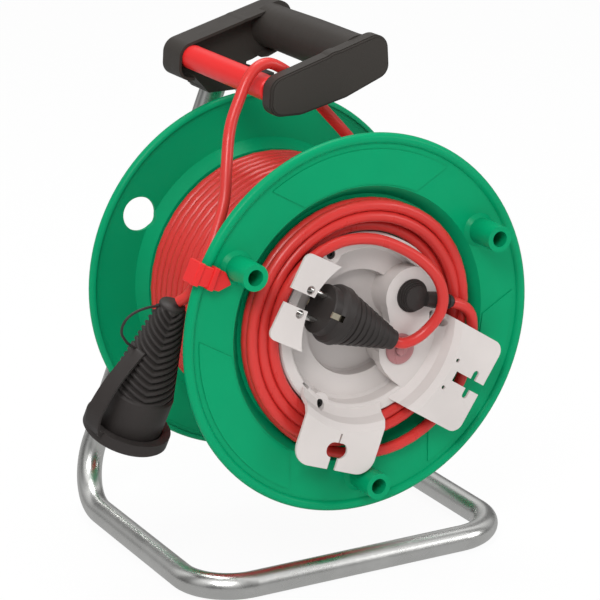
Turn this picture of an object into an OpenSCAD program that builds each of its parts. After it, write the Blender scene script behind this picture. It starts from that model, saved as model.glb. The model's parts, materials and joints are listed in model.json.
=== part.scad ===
// Extension cord reel with a cantilevered drum on a bent tube stand.
// Millimetres, +Z up, the operator stands on the -Y side, the floor is at Z = 0.
// Drum parts are drawn around their own axle: local Z points to the front.

/* [Drum] */
// Outer radius of both flanges
flange_r = 145; // [138:1:150]
// Distance from the drum's middle to the rim of each flange
rim_f = 83.5; // [80:0.5:90]
// Wall thickness of the flanges
flange_t = 3; // [2:0.5:4]
// Outer radius of the core that carries the winding
core_r = 60; // [56:1:64]
// Wall thickness of the core
core_wall = 2.5; // [2:0.5:4]
// Radius where the flange starts to step out of its middle dish
dish_r = 99; // [96:1:103]
// Depth of the step between the dish and the outer ring
dish_step = 10; // [6:0.5:12]
// Radius of the rolled bead at the rim
bead_r = 4; // [3:0.5:5]
// Distance of the bosses and the rear holes from the flanges' edge
boss_inset = 27; // [23:1:29]
// Outer radius of a tubular boss
boss_r = 10; // [8:0.5:11]
// Radius of the bore in a tubular boss
boss_bore_r = 6; // [4:0.5:7]
// Length of the bosses in front of the rim
boss_len = 28.5; // [20:0.5:34]
// Radius of the holes in the rear flange
rear_hole_r = 13.5; // [10:0.5:14]

/* [Stand] */
// Height of the axle above the floor
axle_z = 198; // [190:1:215]
// Outer radius of the stand's tube
tube_r = 10; // [8:0.5:12]
// Wall thickness of the tube
tube_wall = 1.5; // [1:0.25:2.5]
// Half width of the floor loop, to the middle of the tube
stand_half_w = 131; // [124:1:145]
// Distance of the front bar in front of the drum's middle
stand_front = 84; // [76:1:110]
// Distance of the rear corners behind the drum's middle
stand_back = 147; // [143:1:160]
// Bend radius of the front corners
front_bend_r = 40; // [30:1:50]
// Bend radius of the rear corners
rear_bend_r = 44; // [34:1:50]
// Height of the tubes' upper ends above the axle
apex_rise = 146; // [142:1:150]
// Distance of the tubes' upper ends behind the drum's middle
apex_back = 125; // [122:1:130]
// Half distance between the tubes' upper ends
apex_half_w = 12.5; // [11.5:0.5:16]

/* [Axle] */
// Radius of the axle
axle_r = 8; // [6:0.5:9]
// Wall thickness of the bearing bush
bush_wall = 2; // [1.5:0.25:3]
// Thickness of the steel bracket between the legs
bracket_t = 3; // [2:0.5:5]
// Height of the bracket
bracket_h = 46; // [36:1:56]

/* [Handle] */
// Sideways place of the guide bar
bar_x = -45.5; // [-50:0.5:-42]
// Height of the guide bar above the axle
bar_rise = 172; // [168:1:176]
// Radius of the guide bar
bar_r = 9.5; // [8:0.5:10.5]
// Sideways place of the grip
grip_x = 28; // [24:1:32]
// Height of the grip above the axle
grip_rise = 188; // [184:1:194]
// Radius of the grip
grip_r = 17; // [14:0.5:17.5]
// Outer face of the handle's front arm, in front of the drum's middle
handle_front = 44; // [38:1:56]
// Thickness of the front arm
front_arm_t = 13; // [9:0.5:16]
// Thickness of the rear arm
rear_arm_t = 18; // [16:0.5:22]
// Radius of the arms' low corner by the guide bar
arm_low_r = 10; // [8:0.5:11]
// Radius of the arms' corners beside the grip
arm_high_r = 10.5; // [9:0.5:12]

/* [Storage insert] */
// Outer radius of the insert
insert_r = 70; // [68:0.5:72]
// Height of the insert's rim above the flange's dish
insert_rim_h = 15.5; // [13:0.5:18]
// Width of the rim
insert_rim_w = 10; // [8:0.5:12]
// Wall thickness of the insert
insert_wall = 2.2; // [1.8:0.1:3]
// Radius of the insert's inner well
well_r = 43; // [40:1:43]
// Depth of the well below the flange's dish
well_depth = 8.5; // [6:0.5:14]
// Height of the cord wings above the rim
wing_rise = 16; // [12:0.5:20]
// Reach of the two broad wings from the drum's centre
wing_reach = 111; // [106:1:113]

/* [Reset button] */
// Radius of the button
button_r = 4.6; // [3.5:0.1:5.5]
// How far the button can be pressed
button_travel = 2; // [1:0.5:3]

/* [Cord] */
// Diameter of the cord
cord_d = 8.5; // [7.5:0.25:9.5]
// Outer radius of the main winding
winding_r = 100.5; // [96:0.5:101]
// Outer radius of the stored supply cord
supply_coil_r = 98; // [94:0.5:98.5]

/* [Plug and coupling] */
// Largest radius of the plug
plug_r = 22.5; // [19:0.5:23]
// Length of the plug's body
plug_len = 70; // [60:1:72]
// Radius of the coupling's body
coupling_r = 25.5; // [23:0.5:27]
// Length of the coupling's body
coupling_len = 108; // [96:1:116]
// Running gap between the coupling's mouth and its lid
lid_gap = 0.5; // [0.4:0.1:0.8]

/* [Hidden] */

$fn = 96;
eps = 0.01;      // overlap that makes cuts clean
gap = 0.3;       // gap between curved faces that lie next to each other
fit = 0.1;       // radial clearance of parts that are pushed together
run_gap = 0.05;  // radial clearance of the turning axle

// ---------- vector helpers ----------
function unit(v) = v / norm(v);
function tangent_len(a, p, b, r) = r / tan(acos(unit(a - p) * unit(b - p)) / 2);

// Places children so that their Z axis points along dir and X lies close to side
module aim(at, dir, side) {
    z = unit(dir);
    y = unit(cross(z, side));
    x = cross(y, z);
    multmatrix([
        [x[0], y[0], z[0], at[0]],
        [x[1], y[1], z[1], at[1]],
        [x[2], y[2], z[2], at[2]]
    ]) children();
}

// Ring section of a tube
module tube_section(r, r_in) {
    difference() {
        circle(r);
        circle(r_in);
    }
}

module straight_tube(a, b, r, r_in) {
    aim(a, b - a, [0.3, 1, 0.2])
        linear_extrude(norm(b - a))
            tube_section(r, r_in);
}

// Quarter-like bend at corner p between the arms towards a and b
module tube_bend(a, p, b, bend_r, r, r_in) {
    u = unit(a - p);
    w = unit(b - p);
    half = acos(u * w) / 2;
    centre = p + unit(u + w) * bend_r / sin(half);
    start = p + u * tangent_len(a, p, b, bend_r);
    x = unit(start - centre);
    y = -u;
    z = cross(x, y);
    multmatrix([
        [x[0], y[0], z[0], centre[0]],
        [x[1], y[1], z[1], centre[1]],
        [x[2], y[2], z[2], centre[2]]
    ])
        rotate_extrude(angle = 180 - 2 * half)
            translate([bend_r, 0])
                tube_section(r, r_in);
}

// One tube along a list of corners, each with its own bend radius. Rings inside the wall
// join each straight length to the bends at its ends, across a seam too thin to see
seam = 0.001;

module wall_key(at, along, r, r_in) {
    wall = r - r_in;
    straight_tube(at - along, at + along, r - 0.3 * wall, r_in + 0.3 * wall);
}

module bent_tube(points, bends, r, r_in) {
    last = len(points) - 1;
    for (i = [0 : last - 1]) {
        a = points[i];
        b = points[i + 1];
        along = unit(b - a);
        cut_a = i == 0 ? 0 : tangent_len(points[i - 1], a, b, bends[i - 1]) + seam;
        cut_b = i == last - 1 ? 0 : tangent_len(a, b, points[i + 2], bends[i]) + seam;
        straight_tube(a + along * cut_a, b - along * cut_b, r, r_in);
        if (i > 0) wall_key(a + along * cut_a, along, r, r_in);
        if (i < last - 1) wall_key(b - along * cut_b, along, r, r_in);
    }
    for (i = [1 : last - 1])
        tube_bend(points[i - 1], points[i], points[i + 1], bends[i - 1], r, r_in);
}

// Direction in which the straight side from circle a to circle b faces
function facing(a, b) =
    let (turn = atan2(b[1] - a[1], b[0] - a[0]), lean = asin((a[2] - b[2]) / norm([b[0] - a[0], b[1] - a[1]])))
    [cos(turn - 90 + lean), sin(turn - 90 + lean)];

// Outline round a ring of circles [x, y, radius], listed counter-clockwise
module round_hull(circles) {
    for (c = circles)
        translate([c[0], c[1]]) circle(c[2]);
    polygon([
        for (i = [0 : len(circles) - 1])
            let (a = circles[i], b = circles[(i + 1) % len(circles)], out = facing(a, b))
            each [[a[0], a[1]] + a[2] * out, [b[0], b[1]] + b[2] * out]
    ]);
}

module rounded_box_2d(w, h, r) {
    square([w - 2 * r, h], center = true);
    square([w, h - 2 * r], center = true);
    for (x = [-1, 1])
        for (y = [-1, 1])
            translate([x * (w / 2 - r), y * (h / 2 - r)]) circle(r);
}

// Hexagonal prism, across flats
module hex(af, h) {
    cylinder(r = af / sqrt(3), h = h, $fn = 6);
}

// Places children on the drum's axle, local Z to the front
module on_axle() {
    translate([0, 0, axle_z]) rotate([90, 0, 0]) children();
}

// Repeats children at the given angles on a circle
module around(angles, r) {
    for (a = angles)
        rotate([0, 0, a]) translate([r, 0, 0]) children();
}

// ---------- derived sizes ----------
boss_angles = [30, 150, 270];
tie_angles = [60, 180, 300];
dish_f = rim_f - 1 - dish_step;         // front face of the dish
plate_f = rim_f - 1;                    // front face of the outer ring
inner_f = dish_f - flange_t;            // inside face of the dish
step_w = 8;                             // radial width of the step
core_bore_r = core_r - core_wall;
spigot_len = 9;
tie_r = core_bore_r - 8.5;

apex = [apex_half_w, apex_back, axle_z + apex_rise];
corner = [stand_half_w, stand_back, tube_r];
front_corner = [stand_half_w, -stand_front, tube_r];
leg_dir = unit(apex - corner);
leg_turn = acos([0, 1, 0] * leg_dir) - 90;      // how far past square the rear bend goes
function leg_at(z) = corner + (apex - corner) * (z - corner[2]) / (apex[2] - corner[2]);
function flip_x(p) = [-p[0], p[1], p[2]];
leg_mid = leg_at(axle_z);

front_most = rim_f + boss_len;
boss_circle_r = flange_r - boss_inset;
rear_most = stand_back - rear_bend_r * tan(45 + leg_turn / 2) + rear_bend_r + tube_r;
mid_y = (rear_most - front_most) / 2;

module place() {
    translate([0, -mid_y, 0]) children();
}

// ---------- stand ----------
stand_points = [
    flip_x(apex), flip_x(corner), flip_x(front_corner), front_corner, corner, apex
];
bolt_drop = 12;     // bolts above and below the axle

module leg_frame(side, z) {
    p = leg_at(z);
    q = side > 0 ? p : flip_x(p);
    d = side > 0 ? leg_dir : flip_x(leg_dir);
    aim(q, d, [1, 0, 0]) children();
}

bolt_r = 3;
bolt_head_r = 5.2;
bolt_back = tube_r + 0.2;     // nut's seat behind the tube's centre

module bolt_places() {
    for (side = [-1, 1])
        for (dz = [-bolt_drop, bolt_drop])
            leg_frame(side, axle_z + dz) rotate([90, 0, 0]) children();
}

module tube_frame() {
    color("#a3a39c")
        difference() {
            bent_tube(stand_points, [rear_bend_r, front_bend_r, front_bend_r, rear_bend_r],
                      tube_r, tube_r - tube_wall);
            bolt_places() cylinder(r = bolt_r + fit, h = 4 * tube_r, center = true);
        }
}

// ---------- bracket and axle ----------
saddle_r = tube_r + fit + bracket_t;
plate_back = leg_mid[1] - tube_r + 1;          // rear face of the flat plate
plate_front = plate_back - bracket_t;
function plate_half(end) = leg_at(axle_z + end * bracket_h / 2)[0] - tube_r / 3;

module axle_bracket() {
    color("#8f928f")
        difference() {
            union() {
                // saddles that hold the front half of each leg
                for (side = [-1, 1])
                    leg_frame(side, axle_z)
                        difference() {
                            cylinder(r = saddle_r, h = bracket_h, center = true);
                            cylinder(r = tube_r + fit, h = bracket_h + 1, center = true);
                            translate([-2 * saddle_r, -2, -bracket_h])
                                cube([4 * saddle_r, 3 * saddle_r, 2 * bracket_h]);
                        }
                // flat plate between the saddles, its sides slanted as the legs are
                upright(plate_front, bracket_t)
                    polygon([
                        [-plate_half(-1), -bracket_h / 2], [plate_half(-1), -bracket_h / 2],
                        [plate_half(1), bracket_h / 2], [-plate_half(1), bracket_h / 2]
                    ]);
                // stiffening collar around the axle
                translate([0, plate_front + eps, axle_z]) rotate([90, 0, 0])
                    cylinder(r1 = axle_r + 9, r2 = axle_r + 6, h = 3);
            }
            translate([0, 0, axle_z]) rotate([-90, 0, 0])
                cylinder(r = axle_r - 2 + fit, h = 2 * stand_back);
            bolt_places() cylinder(r = bolt_r + fit, h = 4 * tube_r);
            // flat seats of the bolts' heads
            bolt_places() translate([0, 0, saddle_r]) cylinder(r = bolt_head_r + gap, h = tube_r);
            // the legs themselves
            for (side = [-1, 1])
                leg_frame(side, axle_z) cylinder(r = tube_r + fit, h = 2 * bracket_h, center = true);
        }
}

module bracket_bolts() {
    color("#b9bbb8")
        bolt_places() {
            // cap head with its socket, seated on the crest of the saddle
            translate([0, 0, saddle_r + 0.05])
                difference() {
                    cylinder(r = bolt_head_r, h = 3.6);
                    translate([0, 0, 1.4]) hex(5, 3);
                }
            translate([0, 0, -bolt_back - 5]) cylinder(r = bolt_r, h = bolt_back + 5.1 + saddle_r);
        }
}

module bracket_nuts() {
    color("#b9bbb8")
        bolt_places()
            translate([0, 0, -bolt_back - 4])
                difference() {
                    hex(9, 4);
                    translate([0, 0, -1]) cylinder(r = bolt_r + fit, h = 6);
                }
}

axle_head_f = -(plate_front - 3);     // shoulder of the axle against the collar
axle_end_f = 0;
hub_back_f = axle_head_f + 2 + gap;
clip_groove_f = axle_end_f - 5;
hub_front_f = clip_groove_f - 3.2 - gap;

module axle() {
    color("#c4c6c4")
        on_axle()
            difference() {
                union() {
                    translate([0, 0, axle_head_f])
                        cylinder(r = axle_r, h = axle_end_f - axle_head_f - 1.5);
                    translate([0, 0, axle_end_f - 1.5]) cylinder(r1 = axle_r, r2 = axle_r - 1.5, h = 1.5);
                    // threaded tail through the bracket
                    translate([0, 0, axle_head_f - 3 - bracket_t - 12])
                        cylinder(r = axle_r - 2, h = bracket_t + 15 + eps);
                }
                translate([0, 0, clip_groove_f])
                    difference() {
                        cylinder(r = axle_r + 2, h = 1.4);
                        translate([0, 0, -1]) cylinder(r = axle_r - 1, h = 4);
                    }
            }
}

module axle_nut() {
    color("#b9bbb8")
        on_axle()
            translate([0, 0, axle_head_f - 3 - bracket_t - 9])
                difference() {
                    union() {
                        hex(19, 8);
                        translate([0, 0, 7.9]) cylinder(r = 11, h = 1.1);
                    }
                    translate([0, 0, -1]) cylinder(r = axle_r - 2 + fit, h = 12);
                }
}

// Washer between the hub's front end and the clip
module thrust_washer() {
    color("#d6d8d6")
        on_axle()
            translate([0, 0, clip_groove_f - 3.2])
                difference() {
                    cylinder(r = 15, h = 3);
                    translate([0, 0, -1]) cylinder(r = axle_r + fit, h = 6);
                }
}

module axle_clip() {
    color("#6f7370")
        on_axle()
            translate([0, 0, clip_groove_f + 0.1])
                difference() {
                    cylinder(r = axle_r + 3.4, h = 1.2);
                    translate([0, 0, -1]) cylinder(r = axle_r - 0.9, h = 4);
                    translate([-3, 0, -1]) cube([6, 2 * axle_r, 4]);
                }
}

// ---------- handle ----------
bar_at = [bar_x, bar_rise];
grip_at = [grip_x, grip_rise];
foot_top = apex_rise + 4;
arm_back = apex_back + 1;       // parting plane of the arm and its clamp
arm_front = arm_back - rear_arm_t;
foot_half_w = apex_half_w + tube_r + 8;
foot_low = apex_rise - 6;
hood_wall = 2.2;
hood_depth = 11;
hood_out = 4.5;     // the rear arm reaches round the guide bar's end

// Outline of an arm in the X-Z plane, drawn around the axle's height: a flat leaf with a full belly
module arm_outline(out = 0, shrink = 0) {
    round_hull([
        [bar_x + 2 - out, bar_rise - 8, arm_low_r - shrink],
        [bar_x + 16.5, bar_rise - 2, arm_low_r + 6.3 - shrink],
        [grip_x - 23, grip_rise - 8, arm_high_r + 7.8 - shrink],
        [grip_x + 8, grip_rise - 4, arm_high_r - shrink],
        [grip_x + 7, grip_rise + 8, arm_high_r + 0.3 - shrink],
        [bar_x + 4.5 - out, bar_rise, bar_r + gap + hood_wall - shrink]
    ]);
}

module upright(y, depth) {
    translate([0, y + depth, axle_z]) rotate([90, 0, 0]) linear_extrude(depth) children();
}

// Block that closes over the upper ends of the two legs
module foot_outline() {
    difference() {
        translate([-foot_half_w, foot_low]) square([2 * foot_half_w, foot_top - foot_low]);
        for (side = [-1, 1])
            translate([side * foot_half_w, foot_low]) rotate(45) square(5, center = true);
    }
}

module foot_to_arm_outline() {
    polygon([
        [-foot_half_w, foot_top - 6], [bar_x, bar_rise - bar_r - 2], [bar_x, bar_rise],
        [8, bar_rise + 6], [apex_half_w - 8, foot_top - 1], [0, foot_top - 6]
    ]);
}

clamp_screw_x = [3.6 - foot_half_w, 0, foot_half_w - 3.6];
clamp_screw_z = foot_low + 5;

module leg_sockets() {
    for (side = [-1, 1])
        leg_frame(side, apex[2])
            translate([0, 0, -2 * tube_r - 10]) cylinder(r = tube_r + fit, h = 2 * tube_r + 10 + fit);
}

module rear_arm() {
    color("#4a4845")
        difference() {
            union() {
                upright(arm_front, arm_back - arm_front) {
                    arm_outline(hood_out);
                    foot_to_arm_outline();
                    foot_outline();
                }
                // hood around the guide bar's end, open to the lower right
                upright(arm_front - hood_depth, hood_depth + eps)
                    difference() {
                        arm_outline(hood_out);
                        arm_outline(hood_out, hood_wall);
                        translate(bar_at + [1, -60]) square([200, 54]);
                        translate(grip_at - [0, 100]) square(200);
                        translate(grip_at) circle(grip_r + 0.5 + gap);
                    }
            }
            leg_sockets();
            // seats of the grip and of the guide bar
            translate([grip_x, arm_front + 6, axle_z + grip_rise]) rotate([90, 0, 0])
                cylinder(r = grip_r - 3.9 + fit, h = 8);
            translate([bar_x, arm_back + 1, axle_z + bar_rise]) rotate([90, 0, 0])
                cylinder(r = rod_r + fit, h = 40);
            for (x = clamp_screw_x)
                translate([x, arm_back + 1, axle_z + clamp_screw_z]) rotate([90, 0, 0])
                    cylinder(r = 1.6, h = 14);
        }
}

clamp_t = 13;

module apex_clamp() {
    color("#45433f")
        difference() {
            union() {
                upright(arm_back + fit, clamp_t - fit) foot_outline();
                upright(arm_back + fit, clamp_t - 4)
                    polygon([
                        [-foot_half_w, foot_top - 1], [-foot_half_w + 8, foot_top + 9], [4, foot_top + 9],
                        [foot_half_w, foot_top - 1]
                    ]);
            }
            leg_sockets();
            for (x = clamp_screw_x)
                translate([x, arm_back + clamp_t + 1, axle_z + clamp_screw_z]) rotate([90, 0, 0]) {
                    cylinder(r = 1.9, h = 2 * clamp_t);
                    cylinder(r = 3.6, h = 4);
                }
        }
}

module clamp_screws() {
    color("#8f928f")
        for (x = clamp_screw_x)
            translate([x, arm_back + clamp_t - 0.5, axle_z + clamp_screw_z]) rotate([90, 0, 0]) {
                difference() {
                    cylinder(r = 3.3, h = 2.4);
                    translate([0, 0, -eps]) cylinder(r = 1.4, h = 1.2);
                }
                cylinder(r = 1.5, h = clamp_t + 8);
            }
}

rod_r = 3;
arm_rear_face = -handle_front + front_arm_t;     // inside face of the front arm

module front_arm() {
    color("#4a4845")
        difference() {
            union() {
                upright(-handle_front + 2.5, front_arm_t - 2.5) arm_outline();
                upright(-handle_front, 2.5 + eps) arm_outline(shrink = 2.2);
                upright(-handle_front + 1, 1.5 + eps) arm_outline(shrink = 0.9);
            }
            translate([grip_x, arm_rear_face + 1, axle_z + grip_rise]) rotate([90, 0, 0])
                cylinder(r = grip_r - 3.9 + fit, h = 7);
            translate([bar_x, arm_rear_face + 1, axle_z + bar_rise]) rotate([90, 0, 0])
                cylinder(r = rod_r + fit, h = front_arm_t - 3);
        }
}

grip_len = arm_front - arm_rear_face;

module grip() {
    color("#514d48")
        translate([grip_x, arm_rear_face + gap / 2, axle_z + grip_rise]) rotate([-90, 0, 0]) {
            rotate_extrude()
                polygon([
                    [grip_r - 4, 0], [grip_r + 0.5, 0], [grip_r, 12], [grip_r + 0.3, grip_len * 0.3],
                    [grip_r + 0.5, grip_len / 2], [grip_r + 0.3, grip_len * 0.7],
                    [grip_r, grip_len - 12], [grip_r + 0.5, grip_len - gap], [grip_r - 4, grip_len - gap]
                ]);
            // plugs that seat in the two arms
            translate([0, 0, -5]) cylinder(r = grip_r - 3.9, h = 13);
            translate([0, 0, grip_len - gap - 8]) cylinder(r = grip_r - 3.9, h = 13);
        }
}

module guide_bar() {
    color("#d6282c")
        translate([bar_x, arm_rear_face + gap / 2, axle_z + bar_rise]) rotate([-90, 0, 0])
            difference() {
                cylinder(r = bar_r, h = grip_len - gap);
                translate([0, 0, -1]) cylinder(r = rod_r + fit, h = grip_len + 2);
                for (end = [0, grip_len - gap])
                    translate([0, 0, end])
                        rotate_extrude() translate([bar_r, 0]) circle(1, $fn = 4);
            }
}

module guide_rod() {
    color("#c4c6c4")
        translate([bar_x, arm_rear_face - front_arm_t + 6, axle_z + bar_rise]) rotate([-90, 0, 0])
            cylinder(r = rod_r, h = grip_len + front_arm_t - 6 + arm_back - arm_front + 6);
}

// Nut that holds the guide rod behind the rear arm
module rod_caps() {
    color("#3a3936")
        translate([bar_x, arm_back + 0.1, axle_z + bar_rise]) rotate([-90, 0, 0])
            difference() {
                rotate_extrude()
                    polygon([[0, 0], [7, 0], [7, 4], [5, 7.5], [0, 8.5]]);
                translate([0, 0, -1]) cylinder(r = rod_r + fit, h = 7.2);
            }
}

// ---------- drum ----------
// Half section of a flange: radius against the distance towards its own outside
module flange_section(hub_r) {
    polygon([
        [hub_r, inner_f], [dish_r + 1, inner_f], [dish_r + step_w, plate_f - flange_t],
        [flange_r - bead_r, plate_f - flange_t], [flange_r - bead_r, plate_f],
        [dish_r + step_w - 1.5, plate_f], [dish_r - 1.5, dish_f], [hub_r, dish_f]
    ]);
    difference() {
        translate([flange_r - bead_r, plate_f - 1]) circle(bead_r);
        translate([flange_r - 3 * bead_r, plate_f - 4 * bead_r])
            square([2 * bead_r, 3.2 * bead_r]);
    }
    // spigot that centres the flange inside the core
    translate([core_bore_r - fit - 2.4, inner_f - spigot_len]) square([2.4, spigot_len + eps]);
}

field_half_w = 60;      // the lower fields by the bosses have straight, parallel sides

// Raised fields of the outer ring, between the bosses
module sectors(height) {
    translate([0, 0, plate_f - eps])
        linear_extrude(height + eps)
            difference() {
                circle(flange_r - 2 * bead_r - 4);
                circle(dish_r + step_w);
                for (a = boss_angles)
                    rotate(a) translate([0, -field_half_w]) square([flange_r, 2 * field_half_w]);
            }
}

module tie_holes(r) {
    around(tie_angles, tie_r) translate([0, 0, -200]) cylinder(r = r, h = 400);
}

ring_in_r = well_r + 1.5;

module front_flange() {
    color("#0a9a68")
        on_axle()
            difference() {
                union() {
                    rotate_extrude() flange_section(ring_in_r);
                    sectors(0.8);
                    around(boss_angles, boss_circle_r) {
                        translate([0, 0, plate_f - flange_t])
                            cylinder(r = boss_r, h = boss_len + 1 + flange_t);
                        translate([0, 0, plate_f - eps])
                            cylinder(r1 = boss_r + 3, r2 = boss_r, h = 3);
                    }
                    // rings that stiffen the seats of the tie bolts
                    around(tie_angles, tie_r)
                        translate([0, 0, inner_f - spigot_len]) cylinder(r = 5, h = spigot_len + 1);
                }
                around(boss_angles, boss_circle_r)
                    translate([0, 0, plate_f - 1]) cylinder(r = boss_bore_r, h = 100);
                tie_holes(2.5 + fit);
                // pockets of the tie bolts' heads
                around(tie_angles, tie_r) translate([0, 0, dish_f - 1.8]) cylinder(r = 3.4, h = 5);
                around(insert_screw_angles, insert_screw_r)
                    translate([0, 0, inner_f - 1]) cylinder(r = 1.5, h = 10);
                // room for the reset button's housing and for the gland
                translate([button_at[0], button_at[1], inner_f - 20])
                    cylinder(r = button_boss_r - boss_wall + 0.2, h = 40);
                translate([gland_at[0], gland_at[1], inner_f - 20]) cylinder(r = gland_hollow_r + 0.2, h = 40);
            }
}

hub_r = axle_r + bush_wall + 4;

cone_r = 34;      // radius at which the hub's cone meets the rear flange
cone_wall = 3;

module rear_hub_section() {
    // sleeve round the bearing bush
    translate([axle_r + bush_wall + fit, hub_back_f])
        square([hub_r - axle_r - bush_wall - fit, hub_front_f - hub_back_f]);
    // cone from the sleeve's rear end to the flange
    polygon([
        [hub_r - 0.5, hub_back_f], [hub_r + 2, hub_back_f], [cone_r, -dish_f], [cone_r, -inner_f],
        [cone_r - cone_wall, -inner_f], [cone_r - cone_wall, -dish_f], [hub_r - 0.5, hub_back_f + 6]
    ]);
}

module rear_flange() {
    color("#0a8a5c")
        on_axle()
            difference() {
                union() {
                    mirror([0, 0, 1]) {
                        rotate_extrude() flange_section(cone_r - 1);
                        sectors(0.8);
                    }
                    rotate_extrude() rear_hub_section();
                    // ribs between the sleeve and the cone
                    for (a = [30 : 60 : 330])
                        rotate([0, 0, a]) translate([hub_r - 1, -1.2, -inner_f - 8])
                            cube([cone_r - cone_wall - hub_r + 2, 2.4, 30]);
                    around(tie_angles, tie_r)
                        translate([0, 0, -inner_f - eps]) cylinder(r = 5, h = spigot_len + 1);
                }
                around(boss_angles, boss_circle_r)
                    translate([0, 0, -plate_f - 10]) cylinder(r = rear_hole_r, h = 20);
                tie_holes(2.5 + fit);
            }
}

module drum_core() {
    color("#0a8a5c")
        on_axle()
            translate([0, 0, -inner_f + gap / 2])
                difference() {
                    cylinder(r = core_r, h = 2 * inner_f - gap);
                    translate([0, 0, -1]) cylinder(r = core_bore_r, h = 2 * inner_f + 2);
                    // hole through which the cord enters the core
                    rotate([0, 0, -20]) translate([core_r - 5, 0, 2 * inner_f - 14]) rotate([0, 90, 0])
                        cylinder(r = cord_d / 2 + 1.5, h = 10);
                }
}

module tie_bolts() {
    color("#b9bbb8")
        on_axle()
            around(tie_angles, tie_r) {
                translate([0, 0, dish_f - 1.75]) cylinder(r = 3.1, h = 1.6);
                translate([0, 0, -dish_f - 6]) cylinder(r = 2.5, h = 2 * dish_f + 4.5);
            }
}

module tie_nuts() {
    color("#b9bbb8")
        on_axle()
            around(tie_angles, tie_r)
                translate([0, 0, -dish_f - 4.1])
                    difference() {
                        hex(8, 4);
                        translate([0, 0, -1]) cylinder(r = 2.5 + fit, h = 6);
                    }
}

module bearing_bush() {
    color("#e8e6de")
        on_axle()
            difference() {
                union() {
                    translate([0, 0, hub_back_f - 1])
                        cylinder(r = axle_r + bush_wall, h = hub_front_f - hub_back_f + 1);
                    translate([0, 0, hub_back_f - 2]) cylinder(r = hub_r + 1, h = 2 - eps);
                }
                translate([0, 0, hub_back_f - 10])
                    cylinder(r = axle_r + run_gap, h = hub_front_f - hub_back_f + 20);
            }
}

// ---------- storage insert ----------
insert_back_f = dish_f + 0.2;
rim_top_f = dish_f + insert_rim_h;
floor_f = dish_f + 0.2 + insert_wall;
well_back_f = dish_f - well_depth;
wing_top_f = rim_top_f + wing_rise;
insert_screw_angles = [-125, -5, 115];
insert_screw_r = insert_r - 4.5;
gland_at = [41, 18];
button_at = [31, -22];
gland_boss_r = 22;
button_boss_r = 17;
boss_wall = 2.2;
gland_hollow_r = 9.6;
wing_t = 2;
right_wing_a = -33;
low_wing_a = -110;
park_wing_a = 151;
park_reach = insert_r + 12.5;
park_wing_w = 68;
rim_chamfer = 1.2;
ring_top_f = rim_top_f - 0.4;     // the rim lies a little below its two raised bosses
ring_foot_f = ring_top_f - 1.1;   // depth to which the wings are rooted in the rim
screw_seat_f = ring_top_f - 3;

// Section of a cord wing: it climbs from the rim and flares out over the coil
module wing_section(reach) {
    polygon([
        [insert_r - insert_rim_w + 2, ring_foot_f], [insert_r - rim_chamfer - 0.5, ring_foot_f],
        [insert_r + 1, rim_top_f + 3],
        [insert_r + 3.5, wing_top_f - wing_t - 4], [insert_r + 8, wing_top_f - wing_t],
        [reach, wing_top_f - wing_t], [reach, wing_top_f], [insert_r + 6.5, wing_top_f],
        [insert_r + 1.5, wing_top_f - 3.5], [insert_r - 1.5, rim_top_f + 5], [insert_r - 5, rim_top_f + 1.5]
    ]);
}

// Section of the wing that parks the plug: its top plate also reaches inwards over the pins
module parking_section(reach) {
    polygon([
        [insert_r - 5, ring_foot_f], [insert_r - rim_chamfer - 0.5, ring_foot_f],
        [insert_r, rim_top_f + 1.5], [insert_r, wing_top_f - wing_t - 3],
        [insert_r + 3, wing_top_f - wing_t], [reach, wing_top_f - wing_t], [reach, wing_top_f],
        [insert_r - 9, wing_top_f], [insert_r - 9, wing_top_f - wing_t], [insert_r - 3, wing_top_f - wing_t],
        [insert_r - 2, wing_top_f - wing_t - 1.5], [insert_r - 2, rim_top_f + 2]
    ]);
}

// Straight tab of the given width, cut from the turned section
module wing(angle, width, reach, corner_r) {
    rotate([0, 0, angle])
        intersection() {
            rotate([0, 0, -45]) rotate_extrude(angle = 90) children();
            translate([reach / 2, 0, rim_top_f - 2])
                linear_extrude(wing_rise + 10) rounded_box_2d(reach, width, corner_r);
        }
}

// Keyhole that lets a cord be pushed in from the wing's outer edge
module keyhole(reach, slot_w, eye_l, eye_w, eye_r) {
    translate([eye_r, -slot_w / 2, 0]) cube([reach, slot_w, 60]);
    translate([eye_r, 0, 0]) linear_extrude(60) {
        square([eye_w, eye_l - eye_w], center = true);
        for (y = [-1, 1])
            translate([0, y * (eye_l - eye_w) / 2]) circle(eye_w / 2);
    }
}

module insert_body_section() {
    difference() {
        polygon([
            [0, well_back_f], [well_r, well_back_f], [well_r, insert_back_f], [insert_r, insert_back_f],
            [insert_r, ring_top_f - rim_chamfer], [insert_r - rim_chamfer, ring_top_f],
            [insert_r - insert_rim_w + rim_chamfer, ring_top_f],
            [insert_r - insert_rim_w, ring_top_f - rim_chamfer],
            [insert_r - insert_rim_w - 1, floor_f + 2], [insert_r - insert_rim_w - 3, floor_f],
            [well_r - insert_wall, floor_f], [well_r - insert_wall - 1, well_back_f + insert_wall + 1.5],
            [well_r - insert_wall - 2.5, well_back_f + insert_wall], [0, well_back_f + insert_wall]
        ]);
        // groove that lightens the rim from behind
        translate([insert_r - insert_rim_w + insert_wall, insert_back_f - 1])
            square([insert_rim_w - 2 * insert_wall, ring_top_f - insert_back_f - insert_wall + 1]);
    }
}

// Zone that the bosses may fill: above the floor, and down to the bottom of the well
module boss_zone(top_f) {
    root_f = floor_f - insert_wall / 2;
    rotate_extrude()
        polygon([
            [0, well_back_f + 0.5], [well_r - insert_wall / 2, well_back_f + 0.5],
            [well_r - insert_wall / 2, root_f], [insert_r - rim_chamfer - 0.3, root_f],
            [insert_r - rim_chamfer - 0.3, top_f], [0, top_f]
        ]);
}

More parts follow.
